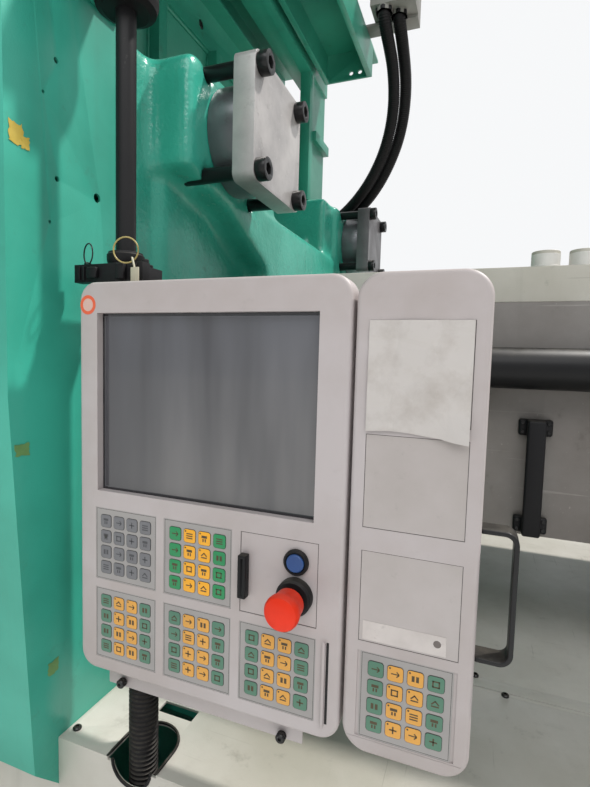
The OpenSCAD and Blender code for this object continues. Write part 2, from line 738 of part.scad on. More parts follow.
// Junction box on the end of the roof frame, with two hose glands
box_x0 = 462;
box_x1 = 592;
box_y0 = 128;
box_y1 = 260;
box_z = 2556;
box_top = 2690;
box_arm_y = 205;
gland_d = 48;
gland_h = 14;
hose_d = 38;
hose_left_route = [
  [500, 152, 2542], [501, 162, 2526], [504, 186, 2504], [508, 216, 2480], [512, 248, 2450], [513, 272, 2420],
  [512, 294, 2388], [508, 316, 2354], [500, 338, 2318], [487, 360, 2278], [468, 382, 2236], [442, 402, 2192],
  [410, 422, 2150], [372, 446, 2114], [332, 474, 2088], [292, 510, 2073], [252, 552, 2068], [212, 598, 2068],
  [190, 624, 2066], [168, 651, 2062], [147, 677, 2052], [129, 701, 2035], [114, 723, 2012], [102, 742, 1982],
  [95, 755, 1944], [92, 762, 1900]
];
hose_right_route = [
  [540, 182, 2542], [541, 194, 2528], [543, 220, 2508], [545, 252, 2482], [547, 284, 2448], [547, 308, 2416],
  [544, 330, 2382], [538, 352, 2346], [528, 374, 2308], [513, 396, 2268], [492, 416, 2226], [466, 435, 2184],
  [436, 454, 2146], [400, 476, 2112], [362, 504, 2090], [324, 540, 2076], [288, 582, 2069], [254, 628, 2066],
  [233, 657, 2062], [213, 685, 2054], [194, 712, 2041], [177, 738, 2022], [164, 760, 1998], [153, 777, 1969],
  [147, 788, 1935], [145, 792, 1900]
];
module junction_box() color(CREAM) {
  block(box_x0, box_x1, box_y0, box_y1, box_z, box_top);
  block(channel_x1 - 60, box_x1, box_arm_y, box_y1, column_top + roof_t, box_z);
  for (r = [hose_left_route[0], hose_right_route[0]]) rod_z(gland_d, r[0], r[1], box_z - gland_h, box_z);
}

// Sweeps a ring of points along a route whose both ends are cut level
hose_sides = 10;
function unit(v) = v / norm(v);
function tangent(p, i) = i == 0 || i == len(p) - 1 ? [0, 0, -1] : unit(p[i + 1] - p[i - 1]);
function ring(c, t, u, r) = let (v = cross(t, u))
  [for (k = [0 : hose_sides - 1]) let (a = 360 * k / hose_sides) c + r * (cos(a) * u + sin(a) * v)];
function carry(p, i) = i == 0 ? [1, 0, 0]
  : let (u = carry(p, i - 1), t = tangent(p, i)) unit(u - (u * t) * t);
module swept_tube(p, d) {
  n = len(p);
  points = [for (i = [0 : n - 1]) each ring(p[i], tangent(p, i), carry(p, i), d / 2)];
  walls = [for (i = [0 : n - 2], k = [0 : hose_sides - 1])
    let (a = i * hose_sides + k, b = i * hose_sides + (k + 1) % hose_sides)
    [a + hose_sides, b + hose_sides, b, a]];
  first_cap = [for (k = [0 : hose_sides - 1]) k];
  last_cap = [for (k = [hose_sides - 1 : -1 : 0]) (n - 1) * hose_sides + k];
  polyhedron(points, concat(walls, [first_cap, last_cap]));
}
module hose_left() color(BLACK) swept_tube(hose_left_route, hose_d);
module hose_right() color(BLACK) swept_tube(hose_right_route, hose_d);

// Arm on the column that holds the pole, with its rubber collar
pole_x = 336;
arm_z0 = 2060;
arm_z1 = 2120;
arm_half_y = 45;
arm_plate_t = 8;
collar_d = 88;
collar_z = 1985;
collar_neck_d = 64;
collar_lip_h = 40;
module boom_arm() color(MINT) difference() {
  union() {
    block(column_x, column_x + arm_plate_t, pole_y - 75, pole_y + 75, arm_z0 - 30, arm_z1 + 35);
    block(column_x, pole_x + 50, pole_y - arm_half_y, pole_y + arm_half_y, arm_z0, arm_z1);
  }
  rod_z(pole_d + 0.4, pole_x, pole_y, arm_z0 - 1, arm_z1 + 1);
}
module pole_collar() color(BLACK) translate([pole_x, pole_y, collar_z]) rotate_extrude() polygon([
  [pole_d / 2 + 0.2, 0], [collar_d / 2 - 12, 0], [collar_d / 2 - 3, 4], [collar_d / 2, 14],
  [collar_d / 2, collar_lip_h], [collar_neck_d / 2, collar_lip_h + 8],
  [collar_neck_d / 2, arm_z0 - collar_z], [pole_d / 2 + 0.2, arm_z0 - collar_z]
]);
module panel_pole() color(BLACK) {
  rod_z(pole_d, pole_x, pole_y, clamp_z0 + 8, arm_z1 + 10);
  rod_z(pole_d + 12, pole_x, pole_y, arm_z1, arm_z1 + 10);
}

// Clamp between pole and panel: foot, square body with clamping wings, and collar
panel_top = panel_z + panel_h;
clamp_z0 = panel_top - 8;
clamp_body_z0 = 1611;
clamp_body_z1 = 1636;
clamp_top_z = 1656;
clamp_body_x = 38;
clamp_body_y = 34;
clamp_neck_d = 56;
clamp_wing_x0 = 274;
clamp_wing_x1 = 392;
clamp_wing_y = 16;
module pole_clamp() color(BLACK) difference() {
  union() {
    rod_z(clamp_neck_d, pole_x, pole_y, clamp_z0, clamp_body_z0);
    block(pole_x - clamp_body_x, pole_x + clamp_body_x, pole_y - clamp_body_y, pole_y + clamp_body_y,
          clamp_body_z0, clamp_body_z1);
    block(clamp_wing_x0, clamp_wing_x1, pole_y - clamp_body_y, pole_y - clamp_body_y + clamp_wing_y,
          clamp_body_z0, clamp_body_z1);
    rod_z(48, pole_x, pole_y, clamp_body_z1, clamp_top_z);
  }
  rod_z(pole_d + 2 * running, pole_x, pole_y, clamp_z0 + 8, clamp_top_z + 1);
}

// Main housing: front frame with the screen opening and the keypad fields
bezel_wall = 6;
screen_x = panel_x + 30;
screen_z = 1330;
screen_depth = 10;
screen_t = 4;
front_wall = 14;
field_depth = 1.5;
pad_cols = [350, 458.5, 567];
pad_rows = [1099.3, 1209.1];
stop_x = 638;
button_z = 1282;
stop_z = 1243;
button_hole_d = 22.3;
module pad_field(x, z, w, h, y_face) slab_y(-y_face - 1, -y_face + field_depth)
  translate([x, z]) square([w, h]);
module panel_front() color(PANEL_GREY) difference() {
  slab_y(-panel_front_y, -panel_front_y + bezel_t)
    translate([panel_x, panel_z]) round_rect(panel_w, panel_h, panel_r);
  slab_y(-panel_front_y + front_wall, -panel_front_y + bezel_t + 1)
    translate([panel_x + bezel_wall, panel_z + bezel_wall])
    round_rect(panel_w - 2 * bezel_wall, panel_h - 2 * bezel_wall, panel_r - bezel_wall);
  block(screen_x, screen_x + screen_w, -panel_front_y - 1, -panel_front_y + bezel_t,
        screen_z, screen_z + screen_h);
  for (x = pad_cols, z = pad_rows) pad_field(x, z, pad_w, pad_h, panel_front_y);
  for (z = [button_z, stop_z])
    rod_y(button_hole_d, stop_x, -panel_front_y - 1, -panel_front_y + bezel_t, z);
}
back_x0 = 335;
back_x1 = 681;
back_z0 = 1095;
back_z1 = 1590;
back_y = pole_y + 35;
back_wall = 3;
strip_x0 = 345;
strip_x1 = 641;
strip_z = 1040;
module panel_back() color(PANEL_GREY) {
  difference() {
    block(back_x0, back_x1, -panel_front_y + bezel_t, back_y, back_z0, back_z1);
    block(back_x0 + back_wall, back_x1 - back_wall, -panel_front_y + bezel_t - 1, back_y - back_wall,
          back_z0 + back_wall, back_z1 - back_wall);
  }
  block(pole_x - 36, pole_x + 80, pole_y - 38, back_y, back_z1, clamp_z0);
  block(strip_x0, strip_x1, -panel_front_y + bezel_t, -panel_front_y + bezel_t + back_wall,
        strip_z, back_z0);
}
module screen() color([0.12, 0.14, 0.15]) block(screen_x, screen_x + screen_w,
  -panel_front_y + screen_depth, -panel_front_y + screen_depth + screen_t, screen_z, screen_z + screen_h);

// Membrane keypad: foil with sixteen raised keys
foil_t = 1;
key_rise = 0.7;
module keypad(x, z, y_face) {
  y = -y_face + field_depth;
  block(x, x + pad_w, y - foil_t, y, z, z + pad_h);
  for (i = [-1.5 : 1.5], j = [-1.5 : 1.5])
    block(x + pad_w / 2 + i * key_pitch - key_w / 2, x + pad_w / 2 + i * key_pitch + key_w / 2,
          y - foil_t - key_rise, y - foil_t,
          z + pad_h / 2 + j * key_pitch - key_w / 2, z + pad_h / 2 + j * key_pitch + key_w / 2);
}
module main_keypads() color([0.45, 0.5, 0.48])
  for (x = pad_cols, z = pad_rows) if (x != pad_cols[2] || z != pad_rows[1]) keypad(x, z, panel_front_y);

// Sprung blue button and its ring, and the mushroom stop switch on its collar
ring_d = 30;
ring_t = 4;
button_d = 21;
button_out = 7;
button_travel = 4;
stop_collar_d = 42;
stop_collar_t = 12;
stop_head_d = 40;
stop_out = 50;
stop_head_t = 16;
stop_barrel_d = 35;
stop_barrel_t = 16;
stop_stem_d = 20;
module switch_ring(d, t, z) difference() {
  rod_y(d, stop_x, -panel_front_y - t, -panel_front_y + field_depth, z);
  rod_y(button_d + 0.6, stop_x, -panel_front_y - t - 1, -panel_front_y + field_depth + 1, z);
}
module blue_button() color([0.25, 0.42, 0.68])
  rod_y(button_d, stop_x, -panel_front_y - button_out, -panel_front_y + front_wall, button_z);
module button_bezel() color(BLACK) switch_ring(ring_d, ring_t, button_z);
module estop_head() color([0.92, 0.25, 0.10]) {
  y = -panel_front_y - stop_out;
  rod_y(stop_head_d, stop_x, y, y + stop_head_t, stop_z);
  rod_y(stop_barrel_d, stop_x, y + stop_head_t, y + stop_head_t + stop_barrel_t, stop_z);
  rod_y(stop_stem_d, stop_x, y + stop_head_t, -panel_front_y + front_wall, stop_z);
}
module estop_collar() color(BLACK) switch_ring(stop_collar_d, stop_collar_t, stop_z);

// Side housing with three blank fields and one keypad
side_x = panel_x + panel_w + 4;
side_r = 28;
side_wall = 4;
link_z0 = panel_z + 170;
link_h = 200;
side_field_x = side_x + 15;
side_field_w = 104;
side_fields = [[1447, 107], [1334, 101], [1208, 101], [1099, pad_h]];
module side_panel() color(PANEL_GREY) {
  difference() {
    slab_y(-panel_front_y, -panel_front_y + side_t)
      translate([side_x, panel_z]) round_rect(side_w, panel_h, side_r);
    slab_y(-panel_front_y + side_wall, -panel_front_y + side_t + 1)
      translate([side_x + side_wall, panel_z + side_wall])
      round_rect(side_w - 2 * side_wall, panel_h - 2 * side_wall, side_r - side_wall);
    for (f = side_fields) pad_field(side_field_x, f[0], side_field_w, f[1], panel_front_y);
  }
  block(back_x1, side_x + side_wall, -panel_front_y + bezel_t + 4, -panel_front_y + bezel_t + 10,
        link_z0, link_z0 + link_h);
}
module side_inserts() color([0.70, 0.68, 0.68]) {
  y = -panel_front_y + field_depth;
  for (n = [0 : 2]) block(side_field_x, side_field_x + side_field_w, y - foil_t, y,
                          side_fields[n][0], side_fields[n][0] + side_fields[n][1]);
  keypad(side_field_x + (side_field_w - pad_w) / 2, side_fields[3][0], panel_front_y);
}

// Flat bar handle on the side housing
grip_out = 36;
grip_z0 = 1206;
grip_z1 = 1346;
grip_t = 5;
grip_w = 25;
grip_r = 14;
module panel_handle() color(BLACK) slab_y(-panel_front_y + 12, -panel_front_y + 12 + grip_w)
  translate([side_x + side_w, grip_z0]) difference() {
    translate([-40, 0]) round_rect(grip_out + 40, grip_z1 - grip_z0, grip_r);
    translate([-41, grip_t])
      round_rect(grip_out + 41 - grip_t, grip_z1 - grip_z0 - 2 * grip_t, grip_r - grip_t);
    translate([-42, -1]) square([42, grip_z1 - grip_z0 + 2]);
  }

// Cable conduit from the panel down into the bed
conduit_d = 42;
conduit_x = 384;
conduit_y = pole_y - 17;
module panel_conduit() color(BLACK)
  rod_z(conduit_d, conduit_x, conduit_y, pocket_z, back_z0);

// Injection carriage: shoes, barrel housing and the two injection cylinders
housing_x0 = 2000;
housing_x1 = 2250;
housing_half_y = 330;
housing_top = 1800;
carriage_x1 = 2760;
carriage_base_z = 1120;
inject_y = 220;
inject_d = 180;
inject_x1 = 2750;
inject_rod_d = 70;
throat_x = 2080;
throat_d = 100;
ear_half_z = 60;
ear_out_y = 480;
pull_y = 430;
pull_rod_d = 36;
module carriage() color(MINT) difference() {
  union() {
    block_pair(housing_x0, carriage_x1, carriage_rail_y0, carriage_rail_y1,
               bed_top + carriage_rail_h, carriage_base_z);
    block(housing_x0, housing_x1, -carriage_rail_y1, carriage_rail_y1,
          bed_top + carriage_rail_h, carriage_base_z);
    block(housing_x0, housing_x1, -housing_half_y, housing_half_y, carriage_base_z, housing_top);
    block(housing_x0, housing_x0 + 80, -ear_out_y, ear_out_y, axis_z - ear_half_z, axis_z + ear_half_z);
    for (s = SIDES) rod_x(inject_d, housing_x1, inject_x1, s * inject_y, axis_z);
  }
  rod_x(barrel_d + fit_gap, housing_x0 - 1, housing_x1 + 1, 0, axis_z);
  for (s = SIDES) rod_x(inject_rod_d + 2 * running, housing_x1 + 10, inject_x1 + 1, s * inject_y, axis_z);
  for (s = SIDES) rod_x(pull_rod_d + 0.4, housing_x0 - 1, housing_x0 + 81, s * pull_y, axis_z);
  rod_z(throat_d, throat_x, 0, axis_z, housing_top + 1);
}

// Barrel with heater bands and the nozzle at its tip
nozzle_x = 160;
barrel_x0 = 470;
barrel_tip_x = 330;
band_d = 230;
band_l = 150;
band_pitch = 200;
module barrel() color(STEEL) difference() {
  union() {
    rod_x(barrel_d, barrel_x0, housing_x1, 0, axis_z);
    translate([barrel_tip_x, 0, axis_z]) rotate([0, 90, 0])
      cylinder(d1 = 90, d2 = barrel_d, h = barrel_x0 - barrel_tip_x);
    translate([nozzle_x, 0, axis_z]) rotate([0, 90, 0])
      cylinder(d1 = 40, d2 = 80, h = barrel_tip_x - nozzle_x);
    for (n = [0 : 6]) rod_x(band_d, barrel_x0 + 40 + n * band_pitch,
                            barrel_x0 + 40 + n * band_pitch + band_l, 0, axis_z);
  }
  rod_x(screw_d + 2 * running, barrel_x0, housing_x1 + 1, 0, axis_z);
  rod_x(12, nozzle_x - 1, barrel_x0 + 1, 0, axis_z);
  rod_z(throat_d, throat_x, 0, axis_z, axis_z + barrel_d);
}

// Screw: round shank with a pointed tip
screw_x0 = 960;
crosshead_x0 = 3250;
crosshead_x1 = 3400;
crosshead_half_z = 170;
screw_tip_l = 90;
module screw() color([0.75, 0.75, 0.76]) {
  translate([screw_x0, 0, axis_z]) rotate([0, 90, 0]) cylinder(d1 = 14, d2 = screw_d, h = screw_tip_l);
  rod_x(screw_d, screw_x0 + screw_tip_l, crosshead_x1, 0, axis_z);
}

// Crosshead with the injection rods and the hydraulic screw motor
motor_d = 260;
motor_l = 240;
rod_end_x = 2720;
module crosshead() color(MINT) difference() {
  union() {
    block(crosshead_x0, crosshead_x1, -housing_half_y, housing_half_y,
          axis_z - crosshead_half_z, axis_z + crosshead_half_z);
    for (s = SIDES) rod_x(inject_rod_d, rod_end_x, crosshead_x0, s * inject_y, axis_z);
    rod_x(motor_d, crosshead_x1, crosshead_x1 + motor_l, 0, axis_z);
    rod_x(motor_d - 80, crosshead_x1 + motor_l, crosshead_x1 + motor_l + 60, 0, axis_z);
  }
  rod_x(screw_d + 2 * running, crosshead_x0 - 1, crosshead_x1, 0, axis_z);
}

// Guard round the barrel: cream top rail, roof, rear side and the fixed front part
guard_x0 = 480;
guard_x1 = 1950;
shield_x1 = 1400;
guard_sheet = 4;
cap_d = 48;
cap_h = 30;
cap_xs = [923, 985];
module barrel_guard() color(CREAM) {
  difference() {
    block(guard_x0, guard_x1, -guard_y, guard_y, guard_z1, guard_z2);
    block(guard_x0 - 1, guard_x1 - guard_sheet, -guard_y + guard_sheet, guard_y - guard_sheet,
          guard_z1 - 1, guard_z2 - guard_sheet);
  }
  block(guard_x0, guard_x1, guard_y - guard_sheet, guard_y, guard_z0, guard_z1);
  block(shield_x1, guard_x1, -guard_y + guard_sheet, -guard_y + 2 * guard_sheet, guard_z0, guard_z1 + 20);
  difference() {
    block(guard_x1 - guard_sheet, guard_x1, -guard_y + 2 * guard_sheet, guard_y - guard_sheet,
          guard_z0, guard_z1);
    rod_x(barrel_d + 20, guard_x1 - guard_sheet - 1, guard_x1 + 1, 0, axis_z);
  }
  for (y = [-300, 300]) block(guard_x1, housing_x0, y - 30, y + 30, guard_z1 - 40, guard_z1);
  for (x = cap_xs) rod_z(cap_d, x, -guard_y + 32, guard_z2, guard_z2 + cap_h);
}
module guard_shield() color(STEEL)
  block(guard_x0, shield_x1, -guard_y, -guard_y + guard_sheet, guard_z0, guard_z1);
guard_grip_x = 920;
guard_grip_z0 = 1206;
guard_grip_z1 = 1414;
guard_grip_out = 38;
guard_grip_w = 30;
guard_grip_t = 14;
guard_foot_w = 56;
guard_foot_t = 12;
module guard_handle() color(BLACK) {
  bow_handle(guard_grip_x, guard_y, guard_grip_z0, guard_grip_z1, guard_grip_out, guard_grip_w, guard_grip_t);
  for (z = [guard_grip_z0, guard_grip_z1 - guard_grip_w])
    block(guard_grip_x - guard_foot_w / 2, guard_grip_x + guard_foot_w / 2,
          -guard_y - guard_foot_t, -guard_y, z, z + guard_grip_w);
}

// Material hopper on the feed throat, with its hinged lid
hopper_neck_d = 140;
hopper_foot_d = 340;
hopper_foot_h = 20;
hopper_cone_z = housing_top + 80;
hopper_wall_z = housing_top + 440;
hopper_top = housing_top + 680;
hopper_wall = 4;
lid_t = 12;
lid_over = 14;
lid_hinge_x = throat_x + hopper_d / 2 + 25;
lid_hinge_z = hopper_top + lid_t / 2;
lid_pin_d = 12;
lid_knuckle_d = 24;
lid_knuckle_y = 60;
lug_y = 70;
lug_t = 14;
lug_x = 12;
lid_grip_l = 60;
lid_grip_h = 24;
module hopper() color([0.75, 0.75, 0.76]) {
  translate([throat_x, 0, 0]) rotate_extrude() polygon([
    [throat_d / 2, housing_top], [hopper_foot_d / 2, housing_top],
    [hopper_foot_d / 2, housing_top + hopper_foot_h],
    [hopper_neck_d / 2, housing_top + hopper_foot_h], [hopper_neck_d / 2, hopper_cone_z],
    [hopper_d / 2, hopper_wall_z], [hopper_d / 2, hopper_top], [hopper_d / 2 - hopper_wall, hopper_top],
    [hopper_d / 2 - hopper_wall, hopper_wall_z + 2], [hopper_neck_d / 2 - hopper_wall, hopper_cone_z + 2],
    [hopper_neck_d / 2 - hopper_wall, housing_top + hopper_foot_h],
    [throat_d / 2, housing_top + hopper_foot_h]
  ]);
  rim_x = throat_x + sqrt(pow(hopper_d / 2, 2) - pow(lug_y + lug_t, 2));
  block_pair(rim_x - 1, lid_hinge_x + lug_x, lug_y, lug_y + lug_t, hopper_top - 40, hopper_top - 2);
  block_pair(lid_hinge_x - lug_x, lid_hinge_x + lug_x, lug_y, lug_y + lug_t,
             hopper_top - 3, lid_hinge_z + lug_x);
  rod_y(lid_pin_d, lid_hinge_x, -lug_y - 1, lug_y + 1, lid_hinge_z);
}
module hopper_lid() color([0.75, 0.75, 0.76]) difference() {
  union() {
    rod_z(hopper_d + lid_over, throat_x, 0, hopper_top, hopper_top + lid_t);
    block(throat_x + hopper_d / 2 - lid_over, lid_hinge_x, -lid_knuckle_y, lid_knuckle_y,
          hopper_top, hopper_top + lid_t);
    rod_y(lid_knuckle_d, lid_hinge_x, -lid_knuckle_y, lid_knuckle_y, lid_hinge_z);
    block(throat_x - lid_grip_l, throat_x + lid_grip_l, -lid_grip_h, lid_grip_h,
          hopper_top + lid_t, hopper_top + lid_t + lid_grip_h);
  }
  rod_y(lid_pin_d + 2 * running, lid_hinge_x, -lid_knuckle_y - 1, lid_knuckle_y + 1, lid_hinge_z);
}

// Hydraulic cylinders that pull the nozzle against the fixed platen
pull_x1 = 1500;
pull_block = 80;
module pull_cylinders() color(BLACK) for (s = SIDES) difference() {
  x0 = platen_rear_x + shelf_depth;
  union() {
    rod_x(pull_d, x0, pull_x1, s * pull_y, axis_z);
    block(x0, x0 + 60, s * pull_y - pull_block / 2, s * pull_y + pull_block / 2,
          axis_z - pull_block / 2, axis_z + pull_block / 2);
  }
  rod_x(pull_rod_d + 2 * running, x0 + 80, pull_x1 + 1, s * pull_y, axis_z);
}
pull_rod_x0 = 760;
module pull_rods() color([0.75, 0.75, 0.76]) for (s = SIDES) {
  rod_x(pull_rod_d, pull_rod_x0, housing_x0 + 80, s * pull_y, axis_z);
  rod_x(60, housing_x0 + 80, housing_x0 + 110, s * pull_y, axis_z);
}

// Door of the electrical cabinet in the bed, on two pin hinges, with the main switch
switch_x = 2380;
switch_z = 720;
switch_d = 62;
switch_body_t = 22;
switch_grip_t = 18;
switch_grip_w = 9;
module at_cabinet_hinges() for (z = [cabinet_z0 + 40, cabinet_z1 - 100])
  translate([cabinet_hinge_x, cabinet_hinge_y, z]) children();
module cabinet_door() color(CREAM) {
  difference() {
    block(cabinet_x0 - cabinet_lap, cabinet_x1 + cabinet_lap, -half_width - cabinet_door_t, -half_width,
          cabinet_z0 - cabinet_lap, cabinet_z1 + cabinet_lap);
    block(cabinet_x0, cabinet_x1, -half_width - cabinet_door_t + sheet, -half_width + 1,
          cabinet_z0, cabinet_z1);
  }
  at_cabinet_hinges() translate([0, 0, knuckle_h + 1]) difference() {
    union() {
      cylinder(d = knuckle_d, h = knuckle_h);
      block(0, knuckle_gap + 1, -4, 4, 0, knuckle_h);
    }
    translate([0, 0, -1]) cylinder(d = knuckle_pin_d + 2 * running, h = knuckle_h + 2);
  }
}
module main_switch() color([0.85, 0.12, 0.10]) {
  y = -half_width - cabinet_door_t;
  rod_y(switch_d, switch_x, y - switch_body_t, y, switch_z);
  block(switch_x - switch_grip_w, switch_x + switch_grip_w,
        y - switch_body_t - switch_grip_t, y - switch_body_t,
        switch_z - switch_d / 2, switch_z + switch_d / 2);
}

bed_frame();
levelling_feet();
bed_cover();
bed_top_sheet();
bed_side_covers();
power_pack();
guide_rails();
stationary_platen();
rear_platen();
tie_bars();
tie_bar_nuts();
lock_plates();
lock_bolts();
moving_platen();
clamp_cylinder();
clamp_ram();
ejector_plate();
platen_cover_front();
platen_cover_rear();
overhead_frame();
end_guard();
front_door();
front_window();
front_handle();
rear_door();
rear_window();
door_rails();
junction_box();
hose_left();
hose_right();
boom_arm();
pole_collar();
panel_pole();
pole_clamp();
panel_front();
panel_back();
screen();
main_keypads();
blue_button();
button_bezel();
estop_head();
estop_collar();
side_panel();
side_inserts();
panel_handle();
panel_conduit();
carriage();
barrel();
screw();
crosshead();
barrel_guard();
guard_shield();
guard_handle();
hopper();
hopper_lid();
pull_cylinders();
pull_rods();
cabinet_door();
main_switch();
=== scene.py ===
# Looks of the injection moulding machine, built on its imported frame.
import json
import math
import random

import bpy
from bpy.props import FloatProperty, FloatVectorProperty, IntProperty, PointerProperty
from mathutils import Matrix, Vector


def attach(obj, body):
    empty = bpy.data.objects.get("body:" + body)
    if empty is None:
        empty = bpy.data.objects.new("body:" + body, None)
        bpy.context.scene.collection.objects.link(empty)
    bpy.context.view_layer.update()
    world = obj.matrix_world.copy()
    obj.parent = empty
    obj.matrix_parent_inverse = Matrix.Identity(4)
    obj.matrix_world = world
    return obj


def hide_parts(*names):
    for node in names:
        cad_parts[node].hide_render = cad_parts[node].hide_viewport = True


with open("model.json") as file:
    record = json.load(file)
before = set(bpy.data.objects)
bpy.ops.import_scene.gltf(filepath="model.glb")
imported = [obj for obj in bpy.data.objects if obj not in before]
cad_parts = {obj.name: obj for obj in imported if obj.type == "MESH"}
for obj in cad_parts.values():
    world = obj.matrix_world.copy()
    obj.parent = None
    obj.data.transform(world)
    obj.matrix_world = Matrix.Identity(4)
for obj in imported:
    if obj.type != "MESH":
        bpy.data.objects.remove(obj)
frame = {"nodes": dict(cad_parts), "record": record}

bl_info = {
    "name": "Injection moulding machine",
    "version": (1, 0, 0),
    "blender": (4, 5, 0),
    "location": "View3D > Sidebar > Machine",
    "description": "Dresses the packed injection moulding machine with its finishes and fine details",
    "category": "Object",
}

MM = 0.001
# Front face of the panel housings, top and side of the bed, height of the screw's axis
FRONT = -0.855
BED_TOP = 0.930
BED_SIDE = 0.830
AXIS = 1.505
# Where the ribbed conduit leaves the panel
CONDUIT_TOP = (0.384, -0.797, 1.095)
# Points nearer than this are one point, and faces that turn less than this are one face
MERGE = 0.01 * MM
FLAT = math.radians(0.4)
NODES = frame["nodes"]
RECORD = frame["record"]
BODY_OF = {n: body for body, names in RECORD["behaviour"]["bodies"].items() for n in names}
SLOT_OF = {part["node"]: part["material_slot"] for part in RECORD["subparts"]}
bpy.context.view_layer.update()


def srgb(r, g, b):
    """Turns screen values 0 to 255 into a linear colour."""
    def linear(v):
        v /= 255
        return v / 12.92 if v <= 0.04045 else ((v + 0.055) / 1.055) ** 2.4
    return (linear(r), linear(g), linear(b), 1.0)


def colour(name, text, r, g, b):
    return FloatVectorProperty(name=name, description=text, default=srgb(r, g, b), size=4,
                               subtype="COLOR", min=0, max=1)


def length(name, text, mm):
    return FloatProperty(name=name, description=text, default=mm * MM, unit="LENGTH", min=0)


class MachineSizes(bpy.types.PropertyGroup):
    sheet_edge: length("Sheet edge", "Rounding of folded sheet metal", 1.6)
    plate_edge: length("Plate edge", "Rounding of heavy machined plates", 4)
    cast_grain: length("Casting grid", "Cell size of the rounded casting", 9)
    housing_edge: length("Housing edge", "Rounding of the panel housings' front", 5)
    rib_pitch: length("Conduit rib pitch", "Distance between the ribs of the panel conduit", 7)
    hose_pitch: length("Hose rib pitch", "Distance between the ribs of the two hoses", 6)
    key_side: length("Key side", "Side of one membrane key", 17.5)
    key_pitch: length("Key pitch", "Distance between key centres", 21)
    round_steps: IntProperty(name="Round steps", description="Facets of a turned detail",
                             default=40, min=12)


class MachineColours(bpy.types.PropertyGroup):
    mint: colour("Mint paint", "Paint of the castings and covers", 62, 172, 150)
    mint_deep: colour("Deep mint paint", "Darker patches of that paint", 46, 146, 125)
    cream: colour("Cream paint", "Paint of the bed covers", 202, 198, 190)
    cream_deep: colour("Worn cream paint", "Greyer patches of that paint", 176, 172, 160)
    housing: colour("Panel grey", "Paint of the control panel", 186, 178, 178)
    housing_deep: colour("Aged panel grey", "Warmer patches of that paint", 172, 162, 159)
    guard: colour("Guard grey", "Paint of the sliding shield", 126, 121, 117)
    black: colour("Black", "Black plastic and paint", 17, 17, 19)
    grime: colour("Grime", "Oil and dust in corners", 62, 56, 46)
    foil: colour("Foil", "Grey foil of the keypads", 158, 154, 152)
    key_green: colour("Bright green key", "Outer keys of the upper keypad", 24, 138, 82)
    key_yellow: colour("Bright yellow key", "Inner keys of the upper keypad", 244, 172, 28)
    key_sage: colour("Muted green key", "Outer keys of the lower keypads", 78, 124, 102)
    key_amber: colour("Muted orange key", "Inner keys of the lower keypads", 222, 160, 66)
    key_grey: colour("Grey key", "Keys of the upper left keypad", 112, 112, 116)
    stop_red: colour("Stop red", "Head of the stop switch", 236, 48, 8)
    cap_blue: colour("Cap blue", "Cap of the push button", 50, 84, 142)


def sizes():
    return bpy.context.scene.machine_sizes


def tint(name):
    return tuple(getattr(bpy.context.scene.machine_colours, name))


# Selection and edit mode

def leave_edit():
    active = bpy.context.view_layer.objects.active
    if active and active.mode != "OBJECT":
        bpy.ops.object.mode_set(mode="OBJECT")


def clear():
    """Leaves edit mode and selects nothing."""
    leave_edit()
    for other in list(bpy.context.selected_objects):
        other.select_set(False)


def only(piece):
    """Selects one object and nothing else."""
    clear()
    piece.select_set(True)
    bpy.context.view_layer.objects.active = piece


def settle(piece):
    """Puts the object's place, turn and size into its mesh."""
    only(piece)
    bpy.ops.object.transform_apply(location=True, rotation=True, scale=True)
    return piece


def named(name):
    """Names the object that was just made, and its mesh."""
    piece = bpy.context.object
    piece.name = name
    piece.data.name = name
    return piece


def edit_nothing(piece, kind="FACE"):
    """Deselects all of a mesh and sets what is selected next: faces, edges or points."""
    only(piece)
    bpy.ops.object.mode_set(mode="EDIT")
    bpy.ops.mesh.select_mode(type=kind)
    bpy.ops.mesh.select_all(action="DESELECT")
    bpy.ops.object.mode_set(mode="OBJECT")


def pick_faces(piece, test):
    """Opens edit mode with the faces selected whose centre and normal pass the test."""
    edit_nothing(piece)
    for face in piece.data.polygons:
        face.select = bool(test(face.center, face.normal))
    bpy.ops.object.mode_set(mode="EDIT")


def pick_edges(piece, test):
    """Opens edit mode with the edges selected whose ends and middle pass the test."""
    edit_nothing(piece, "EDGE")
    points = piece.data.vertices
    for edge in piece.data.edges:
        a, b = (points[i].co for i in edge.vertices)
        edge.select = bool(test(a) and test(b) and test((a + b) / 2))
    bpy.ops.object.mode_set(mode="EDIT")


def edit_all(piece):
    """Opens edit mode with the whole mesh selected."""
    only(piece)
    bpy.ops.object.mode_set(mode="EDIT")
    bpy.ops.mesh.select_all(action="SELECT")


def pick_front(piece, least=0.9):
    """Opens edit mode with the faces selected that look towards the operator."""
    pick_faces(piece, lambda centre, normal: normal.y < -least)


def extrude(x, y, z):
    bpy.ops.mesh.extrude_region_move(TRANSFORM_OT_translate={"value": (x, y, z)})


def fill_second(piece):
    """Gives the selected faces the piece's second finish."""
    piece.active_material_index = 1
    bpy.ops.object.material_slot_assign()


def face_outwards():
    """Turns every face of the open mesh outwards and leaves edit mode."""
    bpy.ops.mesh.select_all(action="SELECT")
    bpy.ops.mesh.normals_make_consistent(inside=False)
    leave_edit()


def apply(piece, modifier):
    only(piece)
    bpy.ops.object.modifier_apply(modifier=modifier.name)


def thicken(piece, thickness):
    """Gives a sheet its thickness."""
    wall = piece.modifiers.new("thick", "SOLIDIFY")
    wall.thickness = thickness
    apply(piece, wall)


def smooth(piece, angle=38):
    """Shades round faces smooth and keeps edges above the angle, in degrees, sharp."""
    only(piece)
    bpy.ops.object.shade_smooth_by_angle(angle=math.radians(angle))
    return piece


